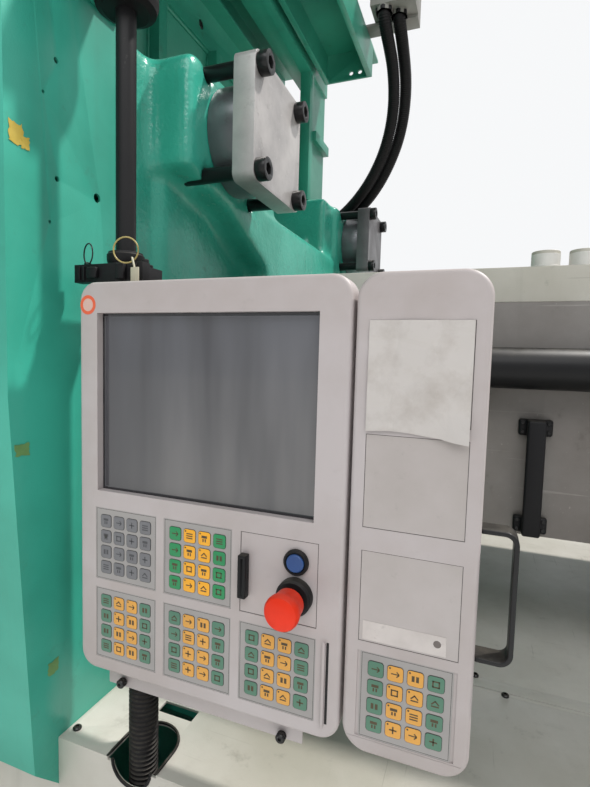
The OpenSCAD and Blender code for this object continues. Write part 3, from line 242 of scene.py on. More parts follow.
def round_edges(piece, width, steps=2):
    """Bevels every sharp edge and shades the result smooth."""
    rounding = piece.modifiers.new("rounding", "BEVEL")
    rounding.width = width
    rounding.segments = steps
    rounding.limit_method = "ANGLE"
    rounding.angle_limit = math.radians(32)
    rounding.miter_outer = "MITER_ARC"
    apply(piece, rounding)
    return smooth(piece)


def mark_faces(piece, test, index):
    """Gives the faces that pass the test another material of the piece."""
    for face in piece.data.polygons:
        if test(face.center, face.normal):
            face.material_index = index


def paint(piece, *finishes):
    """Fills the piece's material slots in order; its faces keep their slot."""
    slots = piece.data.materials
    for index, finish in enumerate(finishes):
        if index < len(slots):
            slots[index] = finish
        else:
            slots.append(finish)
    return piece


def hand_over(piece, body, slot, *nodes):
    """Lets a piece ride on its body and stand for its CAD nodes."""
    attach(piece, body)
    if nodes:
        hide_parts(*nodes)
    return piece


def join(pieces, name):
    """Makes one piece of many; their finishes are merged."""
    only(pieces[0])
    for piece in pieces[1:]:
        piece.select_set(True)
    if len(pieces) > 1:
        bpy.ops.object.join()
    return named(name)


def copy_at(piece, place):
    """A copy with its own mesh, moved by place."""
    twin = bpy.data.objects.new(piece.name, piece.data.copy())
    bpy.context.scene.collection.objects.link(twin)
    twin.data.transform(Matrix.Translation(place))
    return twin


def copies(piece, places, name):
    """Copies a piece to every place, joins the copies and drops the pattern piece."""
    made = [copy_at(piece, Vector(place)) for place in places]
    bpy.data.objects.remove(piece)
    return join(made, name)


# Basic forms, in metres

def block(name, low, high):
    """Box between two corners."""
    clear()
    low, high = Vector(low), Vector(high)
    bpy.ops.mesh.primitive_cube_add(size=1, location=(low + high) / 2, scale=high - low)
    return settle(named(name))


def soft_block(name, low, high, width, steps=2):
    """Box with rounded edges."""
    return round_edges(block(name, low, high), width, steps)


def sheet_grid(name, width, height, columns, rows):
    """Thin level sheet divided into a grid, its middle at the origin."""
    clear()
    bpy.ops.mesh.primitive_grid_add(x_subdivisions=columns, y_subdivisions=rows, size=1)
    piece = named(name)
    piece.scale = (width, height, 1)
    return settle(piece)


def turned(name, profile, steps=None):
    """Turned form along +Z: a disc extruded through the (height, radius) pairs of its profile."""
    clear()
    (height, radius), *rest = profile
    steps = steps or sizes().round_steps
    bpy.ops.mesh.primitive_circle_add(vertices=steps, radius=radius, fill_type="NGON",
                                      location=(0, 0, height))
    piece = settle(named(name))
    pick_faces(piece, lambda centre, normal: True)
    for next_height, next_radius in rest:
        extrude(0, 0, next_height - height)
        if next_radius != radius:
            share = next_radius / radius
            bpy.ops.transform.resize(value=(share, share, 1), center_override=(0, 0, next_height))
        height, radius = next_height, next_radius
    face_outwards()
    return smooth(piece, 30)


TURNS = {
    "-Y": Matrix.Rotation(math.pi / 2, 4, "X"),
    "+Y": Matrix.Rotation(-math.pi / 2, 4, "X"),
    "+X": Matrix.Rotation(math.pi / 2, 4, "Y"),
    "-X": Matrix.Rotation(-math.pi / 2, 4, "Y"),
    "+Z": Matrix.Identity(4),
    "-Z": Matrix.Rotation(math.pi, 4, "X"),
}


def stand(piece, axis, place):
    """Turns a form built along +Z to another axis and sets its foot at place."""
    piece.matrix_world = Matrix.Translation(Vector(place)) @ TURNS[axis]
    return settle(piece)


def cut_seam(piece, place, direction, test):
    """Cuts the faces that pass the test along a plane and marks the cut."""
    pick_faces(piece, test)
    bpy.ops.mesh.bisect(plane_co=place, plane_no=direction)
    bpy.ops.mesh.mark_seam()
    leave_edit()


def copy_of(node, name, heights=(), sides=()):
    """An own copy of a CAD node's mesh, merged, its flat faces made whole.

    Seams at the heights, and between the outer two at the sides, keep a rim's strips apart.
    """
    piece = bpy.data.objects.new(name, NODES[node].data.copy())
    bpy.context.scene.collection.objects.link(piece)
    only(piece)
    bpy.ops.mesh.customdata_custom_splitnormals_clear()
    edit_all(piece)
    bpy.ops.mesh.remove_doubles(threshold=MERGE)
    leave_edit()
    for level in heights:
        cut_seam(piece, (0, 0, level), (0, 0, 1), lambda centre, normal: True)
    for level in sides:
        cut_seam(piece, (level, 0, 0), (1, 0, 0),
                 lambda centre, normal: heights[0] < centre.z < heights[-1])
    edit_all(piece)
    bpy.ops.mesh.dissolve_limited(angle_limit=FLAT, delimit={"SEAM"})
    leave_edit()
    piece.data.materials.clear()
    return piece


def dress(node, width, finish, steps=2):
    """Stands a round-edged copy in for a sharp CAD node."""
    piece = round_edges(copy_of(node, node + "_dressed"), width, steps)
    paint(piece, finish)
    return hand_over(piece, BODY_OF[node], SLOT_OF[node], node)


def keep(node, finish):
    """Leaves a CAD node's shape and gives it its finish."""
    paint(NODES[node], finish)


def smooth_route(points, steps=8):
    """Points along a smooth curve through all the given points."""
    fine = []
    for i in range(len(points) - 1):
        p0, p1 = points[max(i - 1, 0)], points[i]
        p2, p3 = points[i + 1], points[min(i + 2, len(points) - 1)]
        for k in range(steps):
            t = k / steps
            fine.append(0.5 * (2 * p1 + (p2 - p0) * t + (2 * p0 - 5 * p1 + 4 * p2 - p3) * t * t
                               + (3 * p1 - p0 - 3 * p2 + p3) * t ** 3))
    fine.append(points[-1])
    return fine


def even_points(fine, pitch, steps):
    """Evenly spaced points along a route of whole pitches, with so many steps to a pitch."""
    walked = [0.0]
    for a, b in zip(fine, fine[1:]):
        walked.append(walked[-1] + (b - a).length)
    count = max(2, round(walked[-1] / pitch)) * steps
    centres = []
    at = 0
    for n in range(count + 1):
        goal = walked[-1] * n / count
        while at < len(walked) - 2 and walked[at + 1] < goal:
            at += 1
        share = (goal - walked[at]) / (walked[at + 1] - walked[at])
        centres.append(fine[at].lerp(fine[at + 1], min(share, 1)))
    return centres


def ribbed_tube(name, route, radius, pitch, depth, sides, shape=(0, 1, 1, 0)):
    """Corrugated tube along a route of points, its ends closed and level."""
    centres = even_points(smooth_route([Vector(p) for p in route]), pitch, len(shape))
    rings = len(centres) - 1
    across = Vector((1, 0, 0))
    vertices, faces = [], []
    for n, centre in enumerate(centres):
        along = (centres[min(n + 1, rings)] - centres[max(n - 1, 0)]).normalized()
        if n in (0, rings):
            along = Vector((0, 0, -1))
        across = (across - along * across.dot(along)).normalized()
        side = along.cross(across)
        r = radius - depth * (1 - shape[n % len(shape)])
        for k in range(sides):
            turn = 2 * math.pi * k / sides
            vertices.append(centre + r * (math.cos(turn) * across + math.sin(turn) * side))
    for n in range(rings):
        for k in range(sides):
            a, b = n * sides + k, n * sides + (k + 1) % sides
            faces.append((a, b, b + sides, a + sides))
    faces.append(tuple(reversed(range(sides))))
    faces.append(tuple(range(rings * sides, (rings + 1) * sides)))
    mesh = bpy.data.meshes.new(name)
    mesh.from_pydata(vertices, [], faces)
    piece = bpy.data.objects.new(name, mesh)
    bpy.context.scene.collection.objects.link(piece)
    edit_all(piece)
    face_outwards()
    return smooth(piece, 60)


def wire(name, route, radius, sides=8):
    """Plain round wire along a route."""
    return ribbed_tube(name, route, radius, 4 * radius, 0, sides, (1,))


# Shader groups and finishes

def add(tree, kind, inputs=None, **settings):
    """Adds a shader node with its settings, and links the sockets among its inputs."""
    made = tree.nodes.new(kind)
    for key, value in settings.items():
        setattr(made, key, value)
    for key, value in (inputs or {}).items():
        if isinstance(value, bpy.types.NodeSocket):
            tree.links.new(value, made.inputs[key])
        else:
            made.inputs[key].default_value = value
    return made


def mixed(tree, share, a, b):
    """A colour between two, by the share of the second."""
    return add(tree, "ShaderNodeMix", {0: share, 6: a, 7: b}, data_type="RGBA").outputs[2]


def ranged(tree, value, low, high, new_low=0.0, new_high=1.0):
    """A value moved from one range to another and held there."""
    node = add(tree, "ShaderNodeMapRange", {"Value": value, "From Min": low, "From Max": high,
                                            "To Min": new_low, "To Max": new_high})
    return node.outputs[0]


def calc(tree, operation, a, b):
    return add(tree, "ShaderNodeMath", {0: a, 1: b}, operation=operation).outputs[0]


def stretched_noise(tree, stretch, scale, detail=3.0, rough=0.55):
    """Noise on object coordinates, drawn out by the stretch of each axis."""
    place = add(tree, "ShaderNodeTexCoord").outputs["Object"]
    mapped = add(tree, "ShaderNodeMapping", {"Vector": place, "Scale": stretch}).outputs[0]
    noise = add(tree, "ShaderNodeTexNoise", {"Vector": mapped, "Scale": scale, "Detail": detail,
                                             "Roughness": rough})
    return noise.outputs[0]


def new_group(name, ins, outs):
    """An empty shader group with its sockets, as its tree, its inputs and its outputs."""
    tree = bpy.data.node_groups.new(name, "ShaderNodeTree")
    for label, kind, default in ins:
        socket = tree.interface.new_socket(name=label, in_out="INPUT", socket_type=kind)
        socket.default_value = default
    for label, kind in outs:
        tree.interface.new_socket(name=label, in_out="OUTPUT", socket_type=kind)
    return tree, tree.nodes.new("NodeGroupInput").outputs, tree.nodes.new("NodeGroupOutput").inputs


COLOR_SOCKET = "NodeSocketColor"
VALUE_SOCKET = "NodeSocketFloat"
BLACK = (0.0, 0.0, 0.0, 1.0)


def make_weathering(name):
    """Cloudy paint, dust that lies on level faces, and small dark stains."""
    tree, given, put = new_group(
        name,
        [("Paint", COLOR_SOCKET, BLACK), ("Worn", COLOR_SOCKET, BLACK), ("Grime", COLOR_SOCKET, BLACK),
         ("Cloud Scale", VALUE_SOCKET, 3.0), ("Stain Amount", VALUE_SOCKET, 0.3),
         ("Stain Scale", VALUE_SOCKET, 30.0), ("Dust", VALUE_SOCKET, 0.2), ("Gloss", VALUE_SOCKET, 0.4)],
        [("Color", COLOR_SOCKET), ("Roughness", VALUE_SOCKET)])
    place = add(tree, "ShaderNodeTexCoord").outputs
    cloud = add(tree, "ShaderNodeTexNoise", {"Vector": place["Object"], "Scale": given["Cloud Scale"],
                                             "Detail": 5.0, "Roughness": 0.6}).outputs[0]
    stain = add(tree, "ShaderNodeTexNoise", {"Vector": place["Object"], "Scale": given["Stain Scale"],
                                             "Detail": 9.0, "Roughness": 0.72}).outputs[0]
    drips = stretched_noise(tree, (34, 34, 1.6), 1.0, 4.0)
    base = mixed(tree, ranged(tree, cloud, 0.36, 0.66), given["Paint"], given["Worn"])
    marks = calc(tree, "MULTIPLY", ranged(tree, stain, 0.60, 0.74), given["Stain Amount"])
    runs = calc(tree, "MULTIPLY", ranged(tree, drips, 0.60, 0.80), given["Stain Amount"])
    soiled = calc(tree, "MAXIMUM", marks, calc(tree, "MULTIPLY", runs, 0.35))
    base = mixed(tree, soiled, base, given["Grime"])
    level = add(tree, "ShaderNodeSeparateXYZ", {0: place["Normal"]}).outputs[2]
    lying = calc(tree, "MULTIPLY", ranged(tree, level, 0.5, 0.95), given["Dust"])
    lying = calc(tree, "MULTIPLY", lying, ranged(tree, stain, 0.35, 0.6))
    tree.links.new(mixed(tree, lying, base, srgb(150, 143, 130)), put["Color"])
    rough = calc(tree, "ADD", given["Gloss"], ranged(tree, cloud, 0.3, 0.7, -0.06, 0.08))
    rough = calc(tree, "ADD", rough, calc(tree, "MULTIPLY", lying, 0.3))
    rough = calc(tree, "ADD", rough, calc(tree, "MULTIPLY", soiled, 0.25))
    tree.links.new(rough, put["Roughness"])
    return tree


def make_grain(name):
    """Height of a fine grain on top of broad waves."""
    tree, given, put = new_group(
        name,
        [("Fine Scale", VALUE_SOCKET, 500.0), ("Broad Scale", VALUE_SOCKET, 20.0),
         ("Broad Share", VALUE_SOCKET, 0.3)],
        [("Height", VALUE_SOCKET)])
    place = add(tree, "ShaderNodeTexCoord").outputs["Object"]
    fine = add(tree, "ShaderNodeTexNoise", {"Vector": place, "Scale": given["Fine Scale"], "Detail": 2.0})
    broad = add(tree, "ShaderNodeTexNoise", {"Vector": place, "Scale": given["Broad Scale"], "Detail": 4.0})
    waves = calc(tree, "MULTIPLY", broad.outputs[0], given["Broad Share"])
    tree.links.new(calc(tree, "ADD", fine.outputs[0], waves), put["Height"])
    return tree


def make_scratches(name):
    """Mask of long thin scratches and rubbed spots."""
    tree, given, put = new_group(
        name, [("Amount", VALUE_SOCKET, 0.5), ("Scale", VALUE_SOCKET, 1.0)], [("Mask", VALUE_SOCKET)])
    long_x = stretched_noise(tree, (5, 160, 160), given["Scale"], 2.0)
    skew = add(tree, "ShaderNodeTexCoord").outputs["Object"]
    skew = add(tree, "ShaderNodeMapping", {"Vector": skew, "Rotation": (0.3, 0.5, 0.7),
                                           "Scale": (190, 7, 120)}).outputs[0]
    cross = add(tree, "ShaderNodeTexNoise", {"Vector": skew, "Scale": given["Scale"], "Detail": 2.0})
    lines = calc(tree, "MAXIMUM", ranged(tree, long_x, 0.68, 0.73),
                 ranged(tree, cross.outputs[0], 0.70, 0.75))
    patch = ranged(tree, stretched_noise(tree, (1, 1, 1), 7.0, 4.0), 0.42, 0.6)
    rubbed = calc(tree, "MULTIPLY", lines, patch)
    tree.links.new(calc(tree, "MULTIPLY", rubbed, given["Amount"]), put["Mask"])
    return tree


def use_group(tree, name, make, inputs):
    """Places a shader group, which is made on its first use."""
    group = bpy.data.node_groups.get(name) or make(name)
    return add(tree, "ShaderNodeGroup", inputs, node_tree=group).outputs


FINISHES = {}


def once(make):
    """Makes each finish on its first use and keeps it under its name."""
    def kept(name, *values, **more):
        if name not in FINISHES:
            FINISHES[name] = make(name, *values, **more)
        return FINISHES[name]
    return kept


def shader(name, metallic=0.0, coat=0.0, coat_roughness=0.1, **more):
    """A new material with its node tree and its surface shader."""
    made = bpy.data.materials.new(name)
    made.use_nodes = True
    surface = made.node_tree.nodes["Principled BSDF"]
    surface.inputs["Metallic"].default_value = metallic
    surface.inputs["Coat Weight"].default_value = coat
    surface.inputs["Coat Roughness"].default_value = coat_roughness
    for key, value in more.items():
        surface.inputs[key.replace("_", " ")].default_value = value
    return made, made.node_tree, surface


def darker(shade, share):
    """A colour at a share of its brightness."""
    return tuple(share * c for c in shade[:3]) + (1,)


def bump(tree, surface, height, strength, distance):
    """Lets a height pattern tilt the surface."""
    lifted = add(tree, "ShaderNodeBump", {"Height": height, "Strength": strength, "Distance": distance})
    tree.links.new(lifted.outputs[0], surface.inputs["Normal"])


@once
def painted(name, paint_colour, worn, stain=0.25, stain_scale=26, cloud=2.5, dust=0.2, gloss=0.4,
            fine=420, broad=16, share=0.5, relief=0.0004, scratch=0.0, scratch_colour=None,
            metallic=0.0, coat=0.0, specular=0.5):
    """Paint, plastic or metal with clouds, stains, dust, grain and scratches."""
    made, tree, surface = shader(name, metallic, coat, Specular_IOR_Level=specular)
    skin = use_group(tree, "weathering", make_weathering, {
        "Paint": paint_colour, "Worn": worn, "Grime": tint("grime"), "Cloud Scale": cloud,
        "Stain Amount": stain, "Stain Scale": stain_scale, "Dust": dust, "Gloss": gloss})
    colour_out = skin["Color"]
    if scratch:
        rubs = use_group(tree, "scratches", make_scratches, {"Amount": scratch, "Scale": 1.0})["Mask"]
        colour_out = mixed(tree, rubs, colour_out, scratch_colour)
    tree.links.new(colour_out, surface.inputs["Base Color"])
    tree.links.new(skin["Roughness"], surface.inputs["Roughness"])
    grain = use_group(tree, "grain", make_grain, {
        "Fine Scale": fine, "Broad Scale": broad, "Broad Share": share})
    bump(tree, surface, grain["Height"], 0.35, relief)
    return made


@once
def brushed(name, base, dark, stretch, gloss=0.3, relief=0.0002, stain=0.3):
    """Bare metal with fine lines along one axis and oily patches."""
    made, tree, surface = shader(name, metallic=1.0)
    lines = stretched_noise(tree, stretch, 1.0, 5.0, 0.7)
    skin = use_group(tree, "weathering", make_weathering, {
        "Paint": base, "Worn": dark, "Grime": tint("grime"), "Cloud Scale": 9.0, "Stain Amount": stain,
        "Stain Scale": 40.0, "Dust": 0.15, "Gloss": gloss})
    shade = ranged(tree, lines, 0.3, 0.7, 0.0, 0.35)
    tree.links.new(mixed(tree, shade, skin["Color"], dark), surface.inputs["Base Color"])
    rough = calc(tree, "ADD", skin["Roughness"], ranged(tree, lines, 0.3, 0.7, -0.06, 0.1))
    tree.links.new(rough, surface.inputs["Roughness"])
    bump(tree, surface, lines, 0.25, relief)
    return made


@once
def glass(name, base, transmission=0.0):
    """Window pane with faint smears."""
    made, tree, surface = shader(name, IOR=1.45, Transmission_Weight=transmission)
    smear = stretched_noise(tree, (3, 3, 9), 2.0, 6.0, 0.6)
    tinted = mixed(tree, ranged(tree, smear, 0.35, 0.75), base, darker(base, 0.85))
    tree.links.new(tinted, surface.inputs["Base Color"])
    tree.links.new(ranged(tree, smear, 0.3, 0.7, 0.05, 0.17), surface.inputs["Roughness"])
    bump(tree, surface, smear, 0.05, 0.0004)
    return made


@once
def display_painted_reflections(name):
    """Switched-off screen in slate grey under glossy glass, with painted reflections: lighter towards the
    right, bluer towards the top, and soft upright bands of darker grey.
    """
    made, tree, surface = shader(name, IOR=1.5, coat=0.6, coat_roughness=0.04)
    place = add(tree, "ShaderNodeTexCoord").outputs["Object"]
    parts = add(tree, "ShaderNodeSeparateXYZ", {0: place}).outputs
    bands = stretched_noise(tree, (16, 1, 2.2), 1.0, 3.0, 0.5)
    # Painted reflections: the grey lightens towards the right and turns bluer towards the top
    rise = ranged(tree, parts[2], 1.35, 1.56)
    left = ranged(tree, parts[0], 0.36, 0.50)
    base = mixed(tree, left, srgb(58, 58, 62), srgb(112, 110, 110))
    base = mixed(tree, calc(tree, "MULTIPLY", rise, 0.8), base, srgb(86, 88, 96))
    base = mixed(tree, ranged(tree, bands, 0.35, 0.7), base, srgb(66, 66, 70))
    tree.links.new(base, surface.inputs["Base Color"])
    haze = stretched_noise(tree, (9, 9, 9), 1.0, 5.0)
    tree.links.new(ranged(tree, haze, 0.3, 0.7, 0.12, 0.24), surface.inputs["Roughness"])
    bump(tree, surface, haze, 0.04, 0.0005)
    return made


@once
def paper_finish(name):
    """Creased blank sheet, faintly soiled."""
    made, tree, surface = shader(name)
    soil = stretched_noise(tree, (1, 1, 1), 22.0, 7.0, 0.65)
    tree.links.new(mixed(tree, ranged(tree, soil, 0.45, 0.75), srgb(198, 192, 188), srgb(176, 168, 162)),
                   surface.inputs["Base Color"])
    surface.inputs["Roughness"].default_value = 0.8
    place = add(tree, "ShaderNodeTexCoord").outputs["Object"]
    folds = add(tree, "ShaderNodeTexVoronoi", {"Vector": place, "Scale": 26.0}, feature="DISTANCE_TO_EDGE")
    bump(tree, surface, ranged(tree, folds.outputs[0], 0.0, 0.12), 0.3, 0.0012)
    return made


def mint():
    return painted("mint_paint", tint("mint"), tint("mint_deep"), stain=0.22, gloss=0.34,
                   broad=9, share=1.2)


def mint_frame():
    return painted("mint_frame", srgb(54, 150, 126), srgb(42, 126, 106), stain=0.4, stain_scale=20,
                   gloss=0.36, fine=260, broad=20, share=1.2, relief=0.0008)


def mint_cast():
    return painted("mint_casting", tint("mint"), tint("mint_deep"), stain=0.5, stain_scale=15, dust=0.25,
                   gloss=0.27, fine=150, broad=38, share=2.4, relief=0.0022, cloud=4)


def cream():
    return painted("cream_paint", tint("cream"), tint("cream_deep"), stain=0.3, stain_scale=18, gloss=0.42,
                   scratch=0.35, scratch_colour=srgb(120, 114, 104), dust=0.1)


def housing():
    return painted("panel_paint", tint("housing"), tint("housing_deep"), stain=0.10, stain_scale=34,
                   cloud=5, gloss=0.46, fine=900, relief=0.0002, dust=0.1)


def guard_paint():
    return painted("guard_paint", tint("guard"), srgb(108, 102, 97), stain=0.4, stain_scale=20, cloud=5,
                   gloss=0.44, scratch=0.5, scratch_colour=srgb(160, 156, 150))


def black_paint(name="black_paint", gloss=0.3, coat=0.2):
    return painted(name, tint("black"), srgb(26, 26, 27), stain=0.15, dust=0.15, gloss=gloss, fine=500,
                   relief=0.0002, coat=coat, specular=0.22, scratch=0.2, scratch_colour=srgb(80, 78, 76))


def bolt_black():
    return black_paint("bolt_black", 0.34)


def black_moulded():
    return painted("black_plastic", tint("black"), srgb(25, 24, 26), stain=0.1, dust=0.15, gloss=0.5,
                   fine=1100, share=0.2, relief=0.0003, specular=0.22)


def rubber():
    return painted("black_rubber", srgb(15, 14, 16), srgb(24, 22, 23), stain=0.15, dust=0.2, gloss=0.55,
                   fine=800, relief=0.0002, specular=0.2)


def steel():
    return brushed("plain_steel", srgb(150, 148, 144), srgb(104, 100, 94), (6, 130, 130))


def chrome():
    return brushed("chromed_steel", srgb(214, 214, 216), srgb(160, 160, 162), (2, 220, 220), gloss=0.12,
                   relief=0.00005, stain=0.12)


def bright_sheet():
    return brushed("bright_sheet", srgb(208, 208, 208), srgb(160, 160, 160), (90, 90, 3), gloss=0.26)


def iron():
    return painted("plate_iron", srgb(186, 182, 180), srgb(150, 147, 147), stain=0.45, stain_scale=22,
                   cloud=7, dust=0.15, gloss=0.36, fine=260, broad=30, share=0.8, relief=0.0006,
                   scratch=0.5, scratch_colour=srgb(220, 218, 216), metallic=0.25)


# The plate iron darkened as painted shade, for the lock plates on the far side
def dark_iron():
    return painted("dark_iron", srgb(104, 102, 104), srgb(76, 74, 76), stain=0.4, stain_scale=22, cloud=7,
                   dust=0.15, gloss=0.38, fine=260, broad=30, share=0.8, relief=0.0006, metallic=0.25)


def plain(name, rgb, gloss=0.4, coat=0.0, worn=0.9, fine=900, specular=0.5):
    return painted(name, rgb, darker(rgb, worn), stain=0.06, dust=0.12, gloss=gloss, fine=fine,
                   relief=0.0001, cloud=14, coat=coat, specular=specular)


def foil_key(name, shade):
    return plain(name, tint(shade), gloss=0.34, fine=1300)


# Fasteners

def cap_screw(name, head, rise):
    """Round screw head with a round recess, its foot at the origin, along +Z."""
    edge = 0.12 * head
    recess = 0.45 * head / 2
    piece = turned(name, [(0, head / 2), (rise - edge, head / 2), (rise, head / 2 - edge)], 24)
    pick_faces(piece, lambda centre, normal: normal.z > 0.9 and centre.z > rise - MERGE)
    bpy.ops.mesh.inset(thickness=head / 2 - edge - recess)
    extrude(0, 0, -0.6 * rise)
    leave_edit()
    return piece


def hex_bolt(name, width, rise):
    """Hexagon bolt head on a washer."""
    washer = turned(name + "_washer", [(0, 0.62 * width), (0.18 * rise, 0.62 * width)], 24)
    head = turned(name + "_head", [(0.18 * rise, 0.52 * width), (0.92 * rise, 0.52 * width),
                                   (rise, 0.44 * width)], 6)
    return join([washer, head], name)


def screws(name, axis, places, head, rise, finish, body, slot):
    """Screw heads at every place, as one piece."""
    piece = stand(cap_screw(name, head, rise), axis, (0, 0, 0))
    piece = paint(copies(piece, places, name), finish)
    return hand_over(piece, body, slot)


def bolts(name, axis, places, width, rise, body):
    """Black hexagon bolts at every place, as one piece."""
    pattern = stand(hex_bolt(name + "_form", width, rise), axis, (0, 0, 0))
    piece = paint(copies(pattern, places, name), black_paint())
    return hand_over(piece, body, "black_steel")


def on_circle(radius, angles):
    """Pairs of distances from the middle of a circle."""
    return [(radius * math.cos(a), radius * math.sin(a)) for a in angles]


def part_turns(count):
    """Angles that divide a full turn."""
    return [2 * math.pi * k / count for k in range(count)]


class Maker:
    """What every operator of this file shares."""
    bl_options = {"REGISTER"}


class MACHINE_OT_stage(Maker, bpy.types.Operator):
    """Floor, daylight and the camera of the photo"""
    bl_idname = "machine.stage"
    bl_label = "Stage and camera"
    floor_side = 60
    floor_gap = 0.5 * MM
    camera_place = (0.821, -1.357, 1.513)
    camera_turn = (85.768, -1.546, 20.874)
    focal_length = 22.1855
    sun_way = Vector((-0.47, -0.32, -0.82))
    sun_power = 3.6
    sun_width = 3.5
    hall_place = Vector((1.8, -4.2, 5.6))
    hall_aim = Vector((0.3, -0.8, 1.3))
    hall_power = 185
    sky_power = 0.33
    mirrored_white = 0.75

    def execute(self, context):
        clear()
        bpy.ops.mesh.primitive_plane_add(size=self.floor_side, location=(0, 0, -self.floor_gap))
        floor = settle(named("floor"))
        made, tree, surface = shader("floor_finish")
        speckle = stretched_noise(tree, (1, 1, 1), 3.0, 6.0)
        concrete = mixed(tree, speckle, srgb(226, 226, 224), srgb(234, 234, 232))
        tree.links.new(concrete, surface.inputs["Base Color"])
        surface.inputs["Roughness"].default_value = 0.7
        paint(floor, made)
        self.lights()
        self.sky(context)
        self.camera(context)
        return {"FINISHED"}

    def camera(self, context):
        lens = bpy.data.cameras.new("camera")
        lens.lens = self.focal_length
        lens.sensor_width = 36
        lens.sensor_fit = "AUTO"
        lens.clip_start = 0.05
        lens.clip_end = 100
        camera = bpy.data.objects.new("camera", lens)
        context.scene.collection.objects.link(camera)
        camera.location = self.camera_place
        camera.rotation_euler = [math.radians(a) for a in self.camera_turn]
        context.scene.camera = camera

    def lamp(self, light, way, place):
        """Hangs a light at its place, shining along its way."""
        lamp = bpy.data.objects.new(light.name, light)
        lamp.location = place
        lamp.rotation_euler = way.to_track_quat("-Z", "Y").to_euler()
        bpy.context.scene.collection.objects.link(lamp)

    def lights(self):
        sun = bpy.data.lights.new("roof_light", "SUN")
        sun.energy = self.sun_power
        sun.angle = math.radians(self.sun_width)
        sun.color = (1.0, 0.97, 0.93)
        self.lamp(sun, self.sun_way, (0, 0, 0))
        hall = bpy.data.lights.new("hall_light", "AREA")
        hall.shape = "RECTANGLE"
        hall.size = 6
        hall.size_y = 3
        hall.energy = self.hall_power
        self.lamp(hall, self.hall_aim - self.hall_place, self.hall_place)

    def sky(self, context):
        """Pale light on the machine, and a white background where it is seen or mirrored."""
        world = bpy.data.worlds.new("hall")
        context.scene.world = world
        world.use_nodes = True
        tree = world.node_tree
        tree.nodes.clear()
        path = add(tree, "ShaderNodeLightPath").outputs
        seen = calc(tree, "MAXIMUM", path["Is Camera Ray"], path["Is Transmission Ray"])
        mirrored = calc(tree, "MULTIPLY", path["Is Glossy Ray"], self.mirrored_white)
        seen = calc(tree, "MAXIMUM", seen, mirrored)
        soft = add(tree, "ShaderNodeBackground", {
            "Color": (0.86, 0.93, 1.0, 1), "Strength": self.sky_power})
        white = add(tree, "ShaderNodeBackground", {"Color": (0.93, 0.94, 0.95, 1), "Strength": 1.0})
        both = add(tree, "ShaderNodeMixShader", {0: seen, 1: soft.outputs[0], 2: white.outputs[0]})
        out = add(tree, "ShaderNodeOutputWorld")
        tree.links.new(both.outputs[0], out.inputs[0])
        context.scene.view_settings.view_transform = "Standard"


class MACHINE_OT_bed(Maker, bpy.types.Operator):
    """Bed covers with their screws, seams and the rubber edging of the cable opening"""
    bl_idname = "machine.bed"
    bl_label = "Bed and covers"

    def execute(self, context):
        edge = sizes().sheet_edge
        for node in ("bed_cover", "bed_top_sheet"):
            dress(node, edge, cream())
        keep("bed_side_covers", cream())
        dress("cabinet_door", 1.2 * edge, cream())
        keep("bed_frame", mint())
        keep("levelling_feet", steel())
        keep("power_pack", mint())
        dress("guide_rails", edge, steel())
        red = plain("switch_red", srgb(200, 30, 24), gloss=0.25, coat=0.3)
        dress("main_switch", 2 * MM, red, 3)
        self.cover_screws()
        self.edging()
        self.vents()
        return {"FINISHED"}

    def cover_screws(self):
        top = [(842, -424), (892, -462), (266, -806), (1400, -462), (2200, -462), (3000, -462)]
        places = [(x * MM, y * MM, BED_TOP) for x, y in top]
        screws("cover_screws", "+Z", places, 0.013, 0.004, black_paint(), "base", "cream_paint")
        near = (700, 1200, 2800, 3600, -3900, -2900, -1700, 60)
        far = (-3900, -2900, -1700, 60, 1200, 2400, 3600)
        for name, axis, side, columns in (("skirt_screws", "-Y", -BED_SIDE, near),
                                          ("far_skirt_screws", "+Y", BED_SIDE, far)):
            places = [(x * MM, side, z * MM) for x in columns for z in (220, 880)]
            screws(name, axis, places, 0.016, 0.005, steel(), "base", "cream_paint")

    def edging(self):
        """Black rubber edging round the cable opening and its front notch."""
        x, y, z = 0.388, -0.788, BED_TOP + 0.0015
        radius, notch, thickness = 0.042, 0.033, 0.0022
        straight, front = -0.810, -0.829
        arc = [math.pi * k / 12 for k in range(13)]
        hoop = [(x - radius, front, z), (x - radius, straight, z)]
        hoop += [(x - dx, y + dy, z) for dx, dy in on_circle(radius, arc)]
        hoop += [(x + radius, straight, z), (x + radius, front, z)]
        low = [(x - dx, -BED_SIDE, BED_TOP - dz) for dx, dz in on_circle(notch, arc)]
        pieces = [wire("edging_top", hoop, thickness), wire("edging_front", low, thickness)]
        piece = paint(join(pieces, "cable_edging"), rubber())
        hand_over(piece, "base", "black_rubber")

    def vents(self):
        """Pressed louvres on the cabinet door."""
        half, depth, rise = 0.10, 0.012, 0.014
        hood = block("vent_hood", (-half, -depth, 0), (half, 0, rise))
        pick_edges(hood, lambda p: p.y < 1 * MM - depth and p.z > rise - 1 * MM)
        bpy.ops.mesh.bevel(offset=0.009, segments=4)
        leave_edit()
        smooth(hood)
        door_face, lowest, step = -0.849, 0.30, 0.03
        places = [(x, door_face, lowest + step * n) for x in (1.70, 1.96) for n in range(6)]
        piece = paint(copies(hood, places, "door_vents"), cream())
        hand_over(piece, "cabinet_door", "cream_paint")


